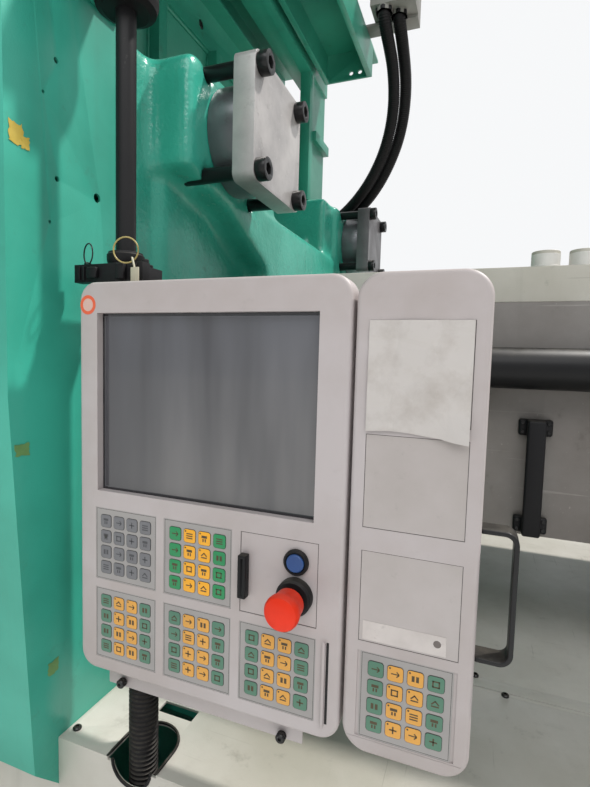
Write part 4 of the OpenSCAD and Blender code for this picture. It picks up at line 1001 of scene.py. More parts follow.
class MACHINE_OT_casting(Maker, bpy.types.Operator):
    """Fixed platen as a rounded casting, and the plain platens"""
    bl_idname = "machine.casting"
    bl_label = "Platens"
    # The mould side and its middle stay flat; beyond these the form is as cast
    flat_depth = 0.13
    flat_half = 0.64
    flange_face = -2.99
    flange_radius = 0.27

    def execute(self, context):
        self.cast_platen()
        plate = sizes().plate_edge
        for node in ("rear_platen", "moving_platen", "clamp_cylinder"):
            dress(node, plate, mint_cast())
        dress("ejector_plate", plate / 2, steel())
        keep("clamp_ram", chrome())
        keep("tie_bars", chrome())
        circle = on_circle(self.flange_radius, part_turns(12))
        ring = [(self.flange_face, y, AXIS + z) for y, z in circle]
        bolts("flange_bolts", "+X", ring, 0.036, 0.024, "base")
        return {"FINISHED"}

    def cast_platen(self):
        """Rebuilds the platen's skin from small cells and smooths its cast side."""
        piece = copy_of("stationary_platen", "stationary_platen_dressed")
        cells = piece.modifiers.new("cells", "REMESH")
        cells.mode = "VOXEL"
        cells.voxel_size = sizes().cast_grain
        apply(piece, cells)
        cast = piece.vertex_groups.new(name="cast_side")
        rough = [point.index for point in piece.data.vertices
                 if point.co.x > self.flat_depth or abs(point.co.y) > self.flat_half]
        cast.add(rough, 1.0, "REPLACE")
        calm = piece.modifiers.new("calm", "SMOOTH")
        calm.factor = 0.5
        calm.iterations = 7
        calm.vertex_group = cast.name
        apply(piece, calm)
        piece.vertex_groups.clear()
        bpy.ops.object.shade_smooth()
        paint(piece, mint_cast())
        hand_over(piece, "base", "mint_paint", "stationary_platen")


class MACHINE_OT_tie_ends(Maker, bpy.types.Operator):
    """Tie bar nuts, square lock plates and their bolts"""
    bl_idname = "machine.tie_ends"
    bl_label = "Tie bar ends"

    def execute(self, context):
        nut_iron = painted("nut_iron", srgb(134, 134, 138), srgb(98, 98, 102), stain=0.4,
                           gloss=0.3, metallic=0.6, dust=0.3)
        dress("tie_bar_nuts", 3 * MM, nut_iron)
        plates = dress("lock_plates", 5 * MM, iron(), 3)
        # Lock plates on the far side (y > 0) get the darker copy of the iron: painted shade
        paint(plates, iron(), dark_iron())
        mark_faces(plates, lambda centre, normal: centre.y > 0, 1)
        dress("lock_bolts", 1.5 * MM, bolt_black())
        return {"FINISHED"}


class MACHINE_OT_covers(Maker, bpy.types.Operator):
    """Sheet columns beside the fixed platen, frame above it, end guard and rails"""
    bl_idname = "machine.covers"
    bl_label = "Columns, roof frame and end guard"
    # Side of the front column, and depth, height, width, length and colour of each bit of tape
    tape_side = 0.253
    tape_wave = 0.08
    tape_bits = ((-0.888, 1.789, 0.020, 0.026, "yellow"), (-0.885, 1.380, 0.022, 0.016, "green"),
                 (-0.839, 1.046, 0.018, 0.020, "green"), (-0.874, 1.782, 0.012, 0.016, "yellow"))
    # Face of the upright wall behind the ribs, and the girder's foot on it
    wall = 0.0695
    girder_foot = 2.349
    rib_sides = (-0.644, -0.614, -0.389, -0.359, -0.134, -0.104, 0.121, 0.151)
    # Rows of fasteners on the girder, on the roof and on both sides of the end guard
    girder_bolts = [(0.068, y, 2.393) for y in (-0.440, -0.181, 0.080)]
    roof_screws = [(x, y, 2.548) for x in (-0.08, 0.20, 0.40) for y in (-0.86, -0.45, -0.05, 0.34)]
    guard_screws = [(x, z) for x in (-4.05, -3.1, -2.2) for z in (1.0, 1.45, 2.12)]

    def execute(self, context):
        edge = sizes().sheet_edge
        dress("platen_cover_front", 2 * edge, mint(), 3)
        keep("platen_cover_rear", mint())
        dress("overhead_frame", edge, mint_frame())
        keep("end_guard", mint())
        dress("door_rails", edge, steel())
        dress("boom_arm", 2 * edge, mint())
        self.tapes()
        self.welds()
        bolts("girder_bolts", "+X", self.girder_bolts, 0.020, 0.012, "base")
        screws("roof_screws", "+Z", self.roof_screws, 0.018, 0.007, steel(), "base", "mint_paint")
        for name, axis, side in (("guard_screws", "-Y", -BED_SIDE), ("far_guard_screws", "+Y", BED_SIDE)):
            places = [(x, side, z) for x, z in self.guard_screws]
            screws(name, axis, places, 0.014, 0.005, steel(), "base", "mint_paint")
        return {"FINISHED"}

    def tapes(self):
        """Torn bits of tape on the column's side."""
        random.seed(4)
        finishes = {"yellow": plain("tape", srgb(205, 178, 74), gloss=0.5, worn=0.7),
                    "green": plain("tape_faded", srgb(118, 160, 96), gloss=0.5, worn=0.7)}
        bits = []
        for y, z, width, height, shade in self.tape_bits:
            bit = sheet_grid("tape_bit", height, width, 6, 5)
            for point in bit.data.vertices:
                point.co.z = 0.4 * MM + random.random() * 0.7 * MM
                point.co.x += random.uniform(-self.tape_wave, self.tape_wave) * height
                point.co.y += random.uniform(-self.tape_wave, self.tape_wave) * width
            stand(bit, "+X", (self.tape_side, y, z))
            thicken(bit, 0.2 * MM)
            bits.append(paint(smooth(bit, 60), finishes[shade]))
        hand_over(join(bits, "tape_bits"), "base", "cream_paint")

    def welds(self):
        """Beads where the ribs and the girder meet the upright wall."""
        beads = []
        for y in self.rib_sides:
            upright = [(self.wall, y, z) for z in (2.04, 2.2, self.girder_foot)]
            beads.append(wire("bead", upright, 0.004, 7))
        level = [(self.wall, y, self.girder_foot) for y in (-0.66, -0.3, 0.05, 0.38)]
        beads.append(wire("bead", level, 0.005, 7))
        hand_over(paint(join(beads, "weld_beads"), mint_frame()), "base", "mint_paint")


class MACHINE_OT_doors(Maker, bpy.types.Operator):
    """Sliding doors with window seals, panes and handles"""
    bl_idname = "machine.doors"
    bl_label = "Sliding doors"
    door_face = 0.8725
    # Window opening: both ends, foot and top, and the radius of its corners
    window = (-1.75, -0.55, 1.21, 1.99)
    window_corner = 0.04

    def execute(self, context):
        edge = sizes().sheet_edge
        dress("front_door", 2 * edge, mint(), 3)
        dress("rear_door", 2 * edge, mint(), 3)
        dress("front_handle", 4 * MM, black_moulded(), 3)
        pane = glass("door_pane", (0.80, 0.88, 0.90, 1), 0.92)
        keep("front_window", pane)
        keep("rear_window", pane)
        for body, side in (("front_door", -self.door_face), ("rear_door", self.door_face)):
            seal = paint(self.seal(body + "_seal", side), rubber())
            hand_over(seal, body, "black_rubber")
        return {"FINISHED"}

    def seal(self, name, y):
        """Rubber strip round the window opening."""
        x0, x1, z0, z1 = self.window
        r = self.window_corner
        corners = ((x1 - r, z1 - r, 0), (x0 + r, z1 - r, 90), (x0 + r, z0 + r, 180), (x1 - r, z0 + r, 270))
        loop = []
        for x, z, start in corners:
            quarter = [math.radians(start + 15 * k) for k in range(7)]
            loop += [(x + dx, y, z + dz) for dx, dz in on_circle(r, quarter)]
        loop.append(loop[0])
        return wire(name, loop, 0.006)


class MACHINE_OT_hoses(Maker, bpy.types.Operator):
    """Junction box on the roof frame and its two ribbed hoses"""
    bl_idname = "machine.hoses"
    bl_label = "Junction box and hoses"
    hose_radius = 0.019
    lid_low = (0.456, 0.122, 2.600)
    lid_high = (0.4615, 0.266, 2.684)
    screw_inset = 0.012
    # Routes of the hoses' middles, in millimetres
    left = [(500, 152, 2542), (501, 162, 2526), (504, 186, 2504), (508, 216, 2480), (512, 248, 2450),
            (513, 272, 2420), (512, 294, 2388), (508, 316, 2354), (500, 338, 2318), (487, 360, 2278),
            (468, 382, 2236), (442, 402, 2192), (410, 422, 2150), (372, 446, 2114), (332, 474, 2088),
            (292, 510, 2073), (252, 552, 2068), (212, 598, 2068), (190, 624, 2066), (168, 651, 2062),
            (147, 677, 2052), (129, 701, 2035), (114, 723, 2012), (102, 742, 1982), (95, 755, 1944),
            (92, 762, 1900)]
    right = [(540, 182, 2542), (541, 194, 2528), (543, 220, 2508), (545, 252, 2482), (547, 284, 2448),
             (547, 308, 2416), (544, 330, 2382), (538, 352, 2346), (528, 374, 2308), (513, 396, 2268),
             (492, 416, 2226), (466, 435, 2184), (436, 454, 2146), (400, 476, 2112), (362, 504, 2090),
             (324, 540, 2076), (288, 582, 2069), (254, 628, 2066), (233, 657, 2062), (213, 685, 2054),
             (194, 712, 2041), (177, 738, 2022), (164, 760, 1998), (153, 777, 1969), (147, 788, 1935),
             (145, 792, 1900)]

    def execute(self, context):
        for node, route in (("hose_left", self.left), ("hose_right", self.right)):
            points = [Vector(p) * MM for p in route]
            hose = ribbed_tube(node + "_dressed", points, self.hose_radius, sizes().hose_pitch,
                               1.2 * MM, 20)
            hand_over(paint(hose, rubber()), "base", "black_rubber", node)
        # The box's cream darkened to grey as painted shade, for the box and its lid
        grey = painted("box_grey", srgb(128, 126, 120), srgb(108, 106, 101), stain=0.4, gloss=0.45)
        dress("junction_box", 2 * MM, grey)
        lid = soft_block("box_lid", self.lid_low, self.lid_high, 0.002)
        hand_over(paint(lid, grey), "base", "cream_paint")
        (face, y0, z0), (_, y1, z1) = self.lid_low, self.lid_high
        inset = self.screw_inset
        corners = [(face, y, z) for y in (y0 + inset, y1 - inset) for z in (z0 + inset, z1 - inset)]
        screws("box_screws", "-X", corners, 0.010, 0.003, steel(), "base", "cream_paint")
        nut = turned("gland_nut", [(0, 0.027), (0.010, 0.027), (0.014, 0.023)], 6)
        places = [Vector(route[0]) * MM for route in (self.left, self.right)]
        nuts = copies(nut, places, "gland_nuts")
        hand_over(paint(nuts, black_moulded()), "base", "black_plastic")
        return {"FINISHED"}


class MACHINE_OT_pole(Maker, bpy.types.Operator):
    """Pole with its rubber collar, and the clamp with its screws and wire loops"""
    bl_idname = "machine.pole"
    bl_label = "Pole and clamp"
    pole_middle = (0.336, -0.780)
    clamp_front = -0.8135
    clamp_top = 1.636
    cap_foot = 1.640

    def execute(self, context):
        keep("panel_pole", black_paint("pole_black", 0.42, coat=0.0))
        keep("pole_collar", rubber())
        dress("pole_clamp", 2 * MM, black_moulded())
        x, y = self.pole_middle
        back = self.clamp_front
        lugs = [soft_block("groove", (left, back - 0.003, 1.614), (left + 0.004, back, 1.633), 0.0008)
                for left in (0.282, 0.290, 0.372, 0.380)]
        lugs.append(soft_block("lug", (0.300, -0.820, 1.616), (0.318, back, 1.631), 0.002))
        lugs.append(soft_block("lug", (0.352, -0.822, 1.613), (0.366, back, 1.634), 0.002))
        hand_over(paint(join(lugs, "clamp_lugs"), black_moulded()), "panel", "black_plastic")
        heads = [(0.283, -0.798), (0.384, -0.798), (x - 0.026, y + 0.02), (x + 0.026, y + 0.02)]
        heads = [(*place, self.clamp_top) for place in heads]
        screws("clamp_screws", "+Z", heads, 0.010, 0.006, bolt_black(), "panel", "black_plastic")
        cap = turned("collar_cap", [(0, 0.0245), (0.004, 0.026), (0.012, 0.026), (0.016, 0.022)])
        stand(cap, "+Z", (x, y, self.cap_foot))
        hand_over(paint(cap, black_moulded()), "panel", "black_plastic")
        self.loops()
        return {"FINISHED"}

    def loops(self):
        """Wire loops and a small plate that hang on the clamp."""
        def hoop(place, radius, tilt):
            turn = Matrix.Rotation(tilt, 3, "Z")
            circle = on_circle(radius, [2 * math.pi * k / 24 for k in range(25)])
            return [Vector(place) + turn @ Vector((dx, 0, dz)) for dx, dz in circle]
        brass = plain("wire_brass", srgb(176, 158, 96), gloss=0.3, worn=0.7)
        dark = black_paint("wire_dark", 0.35)
        pale = plain("wire_pale", srgb(188, 182, 160), gloss=0.4)
        gold = paint(wire("gold_loop", hoop((0.372, -0.823, 1.650), 0.017, 0.3), 0.0011), brass)
        black = paint(wire("dark_loop", hoop((0.308, -0.823, 1.648), 0.014, -0.4), 0.0010), dark)
        tail = [(0.383, -0.824, 1.640), (0.388, -0.826, 1.628), (0.391, -0.827, 1.616),
                (0.393, -0.828, 1.606)]
        strap = paint(wire("wire_tail", tail, 0.0014), pale)
        plate = paint(soft_block("tag", (0.384, -0.8285, 1.607), (0.397, -0.8268, 1.626), 0.0006), pale)
        hand_over(join([gold, black, strap, plate], "clamp_loops"), "panel", "plain_steel")


def housing_rim(x0, x1, z0, z1, r):
    """Test for points on the outline of a housing's front face, with corners of radius r."""
    face_depth, rim_width = 0.4 * MM, 1.2 * MM

    def test(p):
        if p.y > FRONT + face_depth:
            return False
        dx = max(x0 + r - p.x, p.x - (x1 - r), 0)
        dz = max(z0 + r - p.z, p.z - (z1 - r), 0)
        reach = math.hypot(dx, dz) if dx and dz else max(dx, dz)
        return abs(reach - r) < rim_width
    return test


def dress_housing(node, outline, corner, heights, sides):
    """Housing with a well rounded front rim, its openings sharp."""
    piece = copy_of(node, node + "_dressed", heights, sides)
    pick_edges(piece, housing_rim(*outline, corner))
    bpy.ops.mesh.bevel(offset=sizes().housing_edge, segments=5, profile=0.5)
    leave_edit()
    smooth(piece, 32)
    paint(piece, housing())
    return hand_over(piece, BODY_OF[node], SLOT_OF[node], node)


# Generic signs of the membrane keys: bars as (x, y, width, height, turn) in tenths of a key
SIGNS = [
    [(0, 0, 5, 0.7, 0), (1.6, 0.9, 2.2, 0.7, -45), (1.6, -0.9, 2.2, 0.7, 45)],
    [(0, 1.6, 5, 0.8, 0), (0, 0, 5, 0.8, 0), (0, -1.6, 5, 0.8, 0)],
    [(-1.8, 0, 0.8, 4.2, 0), (1.8, 0, 0.8, 4.2, 0), (0, 1.7, 4.4, 0.8, 0), (0, -1.7, 4.4, 0.8, 0)],
    [(0, 0, 0.9, 4.6, 0), (0, 0, 4.6, 0.9, 0)],
    [(-1.3, 0, 1.7, 3.6, 0), (1.3, 0, 1.7, 3.6, 0)],
    [(-1.0, 0.6, 3.4, 0.8, 45), (1.0, 0.6, 3.4, 0.8, -45), (0, -1.7, 4.6, 0.8, 0)],
    [(0, 1.2, 4.4, 1.8, 0), (-0.9, -1.3, 1.0, 2.2, 0), (0.9, -1.3, 1.0, 2.2, 0)],
]


def key_sign(bars, side, height):
    """Printed sign of a key, laid flat on its face."""
    unit = side / 10
    parts = []
    for x, y, w, h, turn in bars:
        clear()
        bpy.ops.mesh.primitive_cube_add(size=1, location=(x * unit, y * unit, height),
                                        rotation=(0, 0, math.radians(turn)),
                                        scale=(w * unit, h * unit, 0.00012))
        parts.append(settle(named("sign_bar")))
    return join(parts, "sign")


def key_form(side):
    """Membrane key: a dark round-cornered rim and a coloured cap, along +Z."""
    clear()
    bpy.ops.mesh.primitive_plane_add(size=side)
    key = settle(named("key"))
    paint(key, key_rim(), key_rim())
    edit_nothing(key, "VERT")
    edit_all(key)
    bpy.ops.mesh.bevel(offset=0.2 * side, segments=4, affect="VERTICES")
    bpy.ops.mesh.select_mode(type="FACE")
    bpy.ops.mesh.select_all(action="SELECT")
    extrude(0, 0, 0.35 * MM)
    bpy.ops.mesh.inset(thickness=0.5 * MM)
    fill_second(key)
    extrude(0, 0, 0.3 * MM)
    fill_second(key)
    bpy.ops.mesh.inset(thickness=0.35 * MM, depth=0.1 * MM)
    face_outwards()
    return smooth(key, 30)


def key_rim():
    return plain("key_rim_black", srgb(52, 52, 50), gloss=0.5)


def key_ink():
    return plain("key_ink_dark", srgb(74, 60, 34), gloss=0.5)


def soft_ink():
    return plain("key_ink_grey", srgb(72, 72, 76), gloss=0.5)


def foil_finish():
    return plain("pad_foil", tint("foil"), gloss=0.36)


# Finishes of the outer and the inner columns of keys, each as its name and its colour
KEY_KINDS = {
    "grey": (("cap_grey", "key_grey"), ("cap_grey", "key_grey")),
    "bright": (("cap_green", "key_green"), ("cap_yellow", "key_yellow")),
    "muted": (("cap_sage", "key_sage"), ("cap_amber", "key_amber")),
}
PAD_WIDTH = 97 * MM
PAD_HEIGHT = 98 * MM
PAD_BACK = FRONT + 1.5 * MM
PAD_FACE = PAD_BACK - 1.0 * MM
PAD_MARGIN = 1.4 * MM
PAD_LINE = 0.5 * MM
SIGN_HEIGHT = 0.78 * MM


def pad_sheet(x, z):
    """Foil of a keypad with a thin dark line round its keys."""
    low, high = Vector((x, PAD_FACE, z)), Vector((x + PAD_WIDTH, PAD_BACK, z + PAD_HEIGHT))
    sheet = block("pad_foil", low, high)
    paint(sheet, foil_finish(), key_rim())
    pick_front(sheet)
    bpy.ops.mesh.inset(thickness=PAD_MARGIN)
    bpy.ops.mesh.inset(thickness=PAD_LINE)
    leave_edit()

    def on_line(centre, normal):
        near = min(centre.x - low.x, high.x - centre.x, centre.z - low.z, high.z - centre.z)
        return normal.y < -0.9 and PAD_MARGIN < near < PAD_MARGIN + PAD_LINE
    mark_faces(sheet, on_line, 1)
    return sheet


def keypad(x, z, kind, seed):
    """Sixteen keys on a framed foil. Inner and outer columns have their own finish."""
    outer, inner = (foil_key(*names) for names in KEY_KINDS[kind])
    two_tone = inner is not outer
    pieces = [pad_sheet(x, z)]
    side, pitch = sizes().key_side, sizes().key_pitch
    pattern = key_form(side)
    signs = [key_sign(bars, side, SIGN_HEIGHT) for bars in SIGNS]
    dot = turned("key_dot", [(0.70 * MM, 1.1 * MM), (0.83 * MM, 1.1 * MM)], 10)
    order = random.Random(seed)
    for column in range(4):
        for row in range(4):
            place = Vector(((column - 1.5) * pitch, (row - 1.5) * pitch, 0))
            middle = column in (1, 2)
            parts = [paint(copy_at(pattern, place), key_rim(), inner if middle else outer)]
            ink = key_ink() if two_tone else soft_ink()
            parts.append(paint(copy_at(order.choice(signs), place), ink))
            if middle and two_tone:
                corner = place + Vector((-0.33 * side, 0.33 * side, 0))
                parts.append(paint(copy_at(dot, corner), key_ink()))
            for part in parts:
                stand(part, "-Y", (x + PAD_WIDTH / 2, PAD_FACE, z + PAD_HEIGHT / 2))
            pieces += parts
    for spare in [pattern, dot] + signs:
        bpy.data.objects.remove(spare)
    return join(pieces, "keypad")


class MACHINE_OT_panel(Maker, bpy.types.Operator):
    """Main housing of the control panel with its screen, strip and small fittings"""
    bl_idname = "machine.panel"
    bl_label = "Control panel housing"
    # Both sides, foot and top of the housing, its corners, and its seams between the openings
    outline = (0.323, 0.693, 1.080, 1.604)
    corner = 0.024
    seam_heights = (1.097, 1.318, 1.578)
    seam_sides = (0.3485, 0.6675)
    # Low and high corners of the screen, the lock lever, the card slot and the lip beside it
    screen_box = ((0.353, -0.845, 1.330), (0.657, -0.841, 1.564))
    lever_box = ((0.5685, -0.866, 1.230), (0.579, FRONT, 1.282))
    slot_box = ((0.6765, -0.8553, 1.100), (0.6795, -0.8535, 1.196))
    lip_box = ((0.6725, -0.860, 1.098), (0.6760, FRONT + 0.5 * MM, 1.199))
    sticker_place = (0.338, FRONT, 1.5745)
    sticker_hole = 0.0068
    thumb_places = [(0.372, -0.825, 1.049), (0.615, -0.825, 1.046)]
    box_back = -0.745
    box_screws = [(x, z) for x in (0.348, 0.668) for z in (1.108, 1.340, 1.577)]
    vent_middle, lowest_vent, vent_step = 0.508, 1.40, 0.014

    def execute(self, context):
        dress_housing("panel_front", self.outline, self.corner, self.seam_heights, self.seam_sides)
        dress("panel_back", 1.5 * MM, housing())
        self.display()
        self.fittings()
        self.rear_details()
        return {"FINISHED"}

    def display(self):
        """Glass with a dark border, set back in its opening."""
        pane = block("screen_dressed", *self.screen_box)
        border = plain("screen_border", srgb(36, 36, 40), gloss=0.2, coat=0.4)
        paint(pane, border, display_painted_reflections("display"))
        pick_front(pane)
        bpy.ops.mesh.inset(thickness=3.5 * MM)
        fill_second(pane)
        extrude(0, 0.6 * MM, 0)
        leave_edit()
        round_edges(pane, 0.3 * MM, 1)
        hand_over(pane, "panel", "screen_glass", "screen")

    def fittings(self):
        self.sticker()
        self.lever()
        self.card_slot()
        self.thumb_screws()

    def sticker(self):
        """Orange ring with a pale middle."""
        ring = turned("round_sticker", [(0, 0.0125), (0.0003, 0.0125), (0.0004, 0.0085), (0.0002, 0.0082),
                                        (0.0002, 0.0010)], 48)
        orange = plain("sticker_orange", srgb(226, 98, 62), gloss=0.4)
        pale = plain("sticker_pale", srgb(214, 178, 166), gloss=0.4)
        paint(ring, orange, pale)
        hole = self.sticker_hole
        mark_faces(ring, lambda centre, normal: centre.xy.length < hole and normal.z > 0.5, 1)
        stand(ring, "-Y", self.sticker_place)
        hand_over(ring, "panel", "red_cap")

    def lever(self):
        """Black lock lever with a hollow face."""
        lever = soft_block("lock_lever", *self.lever_box, 0.0014)
        pick_front(lever, 0.95)
        bpy.ops.mesh.inset(thickness=0.0022)
        extrude(0, 0.003, 0)
        leave_edit()
        hand_over(paint(lever, black_moulded()), "panel", "black_plastic")

    def card_slot(self):
        """Painted shade of the slot opening as a thin dark strip, and a lip that is bevelled on its outer
        edges and sloped at its top.
        """
        # A thin dark strip on the face stands in for the shade inside the slot opening: painted shade
        slot_shade_strip = soft_block("card_slot", *self.slot_box, 0.3 * MM)
        dark = plain("slot_dark", srgb(18, 17, 18), gloss=0.7)
        hand_over(paint(slot_shade_strip, dark), "panel", "black_plastic")
        lip = block("slot_lip", *self.lip_box)
        outer = self.lip_box[0][1]
        pick_edges(lip, lambda p: p.y < outer + 0.5 * MM)
        bpy.ops.mesh.bevel(offset=0.0014, segments=3)
        leave_edit()
        pick_faces(lip, lambda centre, normal: normal.z > 0.9 and centre.y < FRONT)
        bpy.ops.transform.translate(value=(0, 0, -0.004))
        leave_edit()
        hand_over(paint(smooth(lip), housing()), "panel", "panel_grey")

    def thumb_screws(self):
        """Two knurled screws under the panel."""
        thumb = turned("thumb_screw", [(0, 0.0046), (0.002, 0.0046), (0.0022, 0.0062), (0.009, 0.0062),
                                       (0.0104, 0.0050), (0.0104, 0.0022), (0.0084, 0.0020)], 20)
        pick_faces(thumb, lambda centre, normal: abs(normal.z) < 0.3 and centre.z > 0.003)
        bpy.ops.mesh.inset(thickness=0.0003, depth=-0.0004, use_individual=True)
        leave_edit()
        stand(thumb, "-Y", (0, 0, 0))
        thumbs = copies(thumb, self.thumb_places, "thumb_screws")
        hand_over(paint(thumbs, bolt_black()), "panel", "black_steel")

    def rear_details(self):
        """Screws, louvres and a cable gland on the panel's back box."""
        corners = [(x, self.box_back, z) for x, z in self.box_screws]
        screws("panel_back_screws", "+Y", corners, 0.009, 0.003, steel(), "panel", "panel_grey")
        vent = soft_block("rear_vent", (-0.05, 0, 0), (0.05, 0.003, 0.005), 0.0012)
        places = [(self.vent_middle, self.box_back, self.lowest_vent + self.vent_step * n)
                  for n in range(8)]
        hand_over(paint(copies(vent, places, "rear_vents"), housing()), "panel", "panel_grey")
        gland = turned("conduit_gland", [(0, 0.027), (0.012, 0.027), (0.014, 0.024), (0.020, 0.024)], 24)
        stand(gland, "-Z", CONDUIT_TOP)
        hand_over(paint(gland, black_moulded()), "panel", "black_plastic")


class MACHINE_OT_keypads(Maker, bpy.types.Operator):
    """Five membrane keypads of the main housing"""
    bl_idname = "machine.keypads"
    bl_label = "Keypads"
    # Left edges of the three columns of pads, and feet of the two rows
    left, middle, right = 0.350, 0.4585, 0.567
    upper, lower = 1.2091, 1.0993

    def execute(self, context):
        layout = ((self.left, self.upper, "grey"), (self.middle, self.upper, "bright"),
                  (self.left, self.lower, "muted"), (self.middle, self.lower, "muted"),
                  (self.right, self.lower, "muted"))
        pads = [keypad(x, z, kind, seed) for seed, (x, z, kind) in enumerate(layout, 1)]
        pads.append(self.marker(sizes().key_pitch))
        hand_over(join(pads, "main_keypads_dressed"), "panel", "keypad_foil", "main_keypads")
        return {"FINISHED"}

    def marker(self, pitch):
        """Raised dot on the first key of the second row from above."""
        dot = turned("grey_dot", [(0.7 * MM, 2.6 * MM), (0.95 * MM, 2.6 * MM)], 16)
        x = self.left + PAD_WIDTH / 2 - 1.5 * pitch
        z = self.upper + PAD_HEIGHT / 2 + 0.5 * pitch
        return paint(stand(dot, "-Y", (x, PAD_FACE, z)), key_rim())


class MACHINE_OT_buttons(Maker, bpy.types.Operator):
    """Blue push button in its ring and the red stop switch"""
    bl_idname = "machine.buttons"
    bl_label = "Button and stop switch"
    column = 0.638
    button_height = 1.282
    stop_height = 1.243
    # Each form as pairs of its distance from the housing's face and its radius
    bezel = [(-0.0015, 0.0150), (0.0030, 0.0150), (0.0048, 0.0138), (0.0048, 0.0118), (0.0030, 0.0109),
             (-0.0010, 0.0108)]
    cap = [(-0.014, 0.0104), (0.0055, 0.0104), (0.0069, 0.0092), (0.0066, 0.0070), (0.0061, 0.0035),
           (0.0060, 0.0004)]
    collar = [(-0.0015, 0.0210), (0.0090, 0.0210), (0.0120, 0.0190), (0.0120, 0.0125), (0.0080, 0.0112),
              (-0.0010, 0.0110)]
    head = [(-0.014, 0.0100), (0.0175, 0.0100), (0.0178, 0.0150), (0.0190, 0.0168), (0.0260, 0.0173),
            (0.0330, 0.0184), (0.0370, 0.0196), (0.0405, 0.0200), (0.0440, 0.0196), (0.0468, 0.0178),
            (0.0486, 0.0140), (0.0496, 0.0090), (0.0500, 0.0040), (0.0500, 0.0004)]

    def execute(self, context):
        black = black_moulded()
        blue = plain("cap_blue", tint("cap_blue"), gloss=0.34, worn=0.8, specular=0.35)
        red = plain("stop_red", tint("stop_red"), gloss=0.4, worn=0.85, specular=0.3)
        self.fit("button_bezel", self.bezel, self.button_height, black, "panel", "black_plastic")
        self.fit("blue_button", self.cap, self.button_height, blue, "blue_button", "blue_cap")
        self.fit("estop_collar", self.collar, self.stop_height, black, "panel", "black_plastic")
        self.fit("estop_head", self.head, self.stop_height, red, "estop", "red_cap", 56, 60)
        return {"FINISHED"}

    def fit(self, node, profile, height, finish, body, slot, steps=48, angle=30):
        """Turns a form from its profile and stands it on the housing's face."""
        piece = smooth(turned(node + "_dressed", profile, steps), angle)
        stand(piece, "-Y", (self.column, FRONT, height))
        hand_over(paint(piece, finish), body, slot, node)


class MACHINE_OT_side_panel(Maker, bpy.types.Operator):
    """Side housing with blank fields, keypad, taped sheet and handle"""
    bl_idname = "machine.side_panel"
    bl_label = "Side housing"
    # Both sides, foot and top of the housing, its corners, and its seams between the openings
    outline = (0.697, 0.831, 1.080, 1.604)
    corner = 0.028
    seam_heights = (1.097, 1.2025, 1.3215, 1.441, 1.574)
    seam_sides = (0.711, 0.817)
    field_face = FRONT + 0.5 * MM
    # Both sides, and foot and height, of the three blank fields
    field_sides = (0.712, 0.816)
    fields = ((1.447, 0.107), (1.334, 0.101), (1.208, 0.101))
    pad_place = (0.7155, 1.099)
    # Low and high corners of the field behind the button and of the blank strip
    button_field = ((0.5673, field_face, 1.2094), (0.6637, -0.8533, 1.3068))
    strip_box = ((0.7165, -0.8549, 1.2105), (0.8035, -0.8544, 1.2315))
    smudge_place = (0.7945, -0.8549, 1.2225)
    paper_size = (0.103, 0.116)
    paper_place = (0.7635, FRONT, 1.496)
    # Where the sheet's low corner starts to curl, as shares of its width and height
    curl_side, curl_foot = 0.72, 0.22

    def execute(self, context):
        dress_housing("side_panel", self.outline, self.corner, self.seam_heights, self.seam_sides)
        left, right = self.field_sides
        blanks = [self.field("blank", (left, self.field_face, z), (right, PAD_BACK, z + height),
                             0.7 * MM, insert_finish()) for z, height in self.fields]
        pad = keypad(*self.pad_place, "muted", 6)
        hand_over(join(blanks + [pad], "side_inserts_dressed"), "panel", "insert_foil", "side_inserts")
        dress("panel_handle", 1.2 * MM, black_paint("handle_black", 0.36), 3)
        behind = self.field("button_field", *self.button_field, 0.6 * MM, housing())
        hand_over(behind, "panel", "panel_grey")
        self.sheet_of_paper()
        self.label_strip()
        return {"FINISHED"}

    def field(self, name, low, high, border, finish):
        """Flat plate with a thin dark border line."""
        plate = block(name, low, high)
        paint(plate, plain("field_line", srgb(88, 84, 82), gloss=0.6), finish)
        pick_front(plate)
        bpy.ops.mesh.inset(thickness=border)
        fill_second(plate)
        leave_edit()
        return plate

    def sheet_of_paper(self):
        """Creased blank sheet taped over the upper field, its low corner curling out."""
        width, height = self.paper_size
        sheet = sheet_grid("taped_sheet", width, height, 26, 30)
        for point in sheet.data.vertices:
            u, v = point.co.x / width + 0.5, point.co.y / height + 0.5
            curl = 90 * max(0.0, u - self.curl_side) * max(0.0, self.curl_foot - v)
            wave = 0.6 * MM * math.sin(9 * u + 4 * v) + 0.4 * MM * math.sin(23 * v)
            point.co.z = wave + (1.6 + 1.1 * curl + 1.2 * (1 - v)) * MM
            point.co.y += (2.0 * math.sin(6 * u) * (1 - v) - curl) * MM
        stand(sheet, "-Y", self.paper_place)
        thicken(sheet, 0.2 * MM)
        smooth(sheet, 60)
        hand_over(paint(sheet, paper_finish("paper")), "panel", "insert_foil")

    def label_strip(self):
        """Blank pale strip with a rubbed spot at the foot of the third field."""
        strip = soft_block("blank_strip", *self.strip_box, 0.1 * MM, 1)
        pale = painted("strip_pale", srgb(206, 198, 194), srgb(190, 182, 178), stain=0.35, stain_scale=60,
                       cloud=20, gloss=0.5, fine=900, relief=0.0001)
        hand_over(paint(strip, pale), "panel", "insert_foil")
        smudge = turned("smudge", [(0, 0.0040), (0.0001, 0.0038)], 14)
        stand(smudge, "-Y", self.smudge_place)
        grey = plain("smudge_grey", srgb(116, 108, 104), gloss=0.7)
        hand_over(paint(smudge, grey), "panel", "insert_foil")


def insert_finish():
    return painted("insert_foil", srgb(182, 174, 172), srgb(170, 162, 158), stain=0.16,
                   stain_scale=70, cloud=8, gloss=0.42, fine=1000, relief=0.0001)


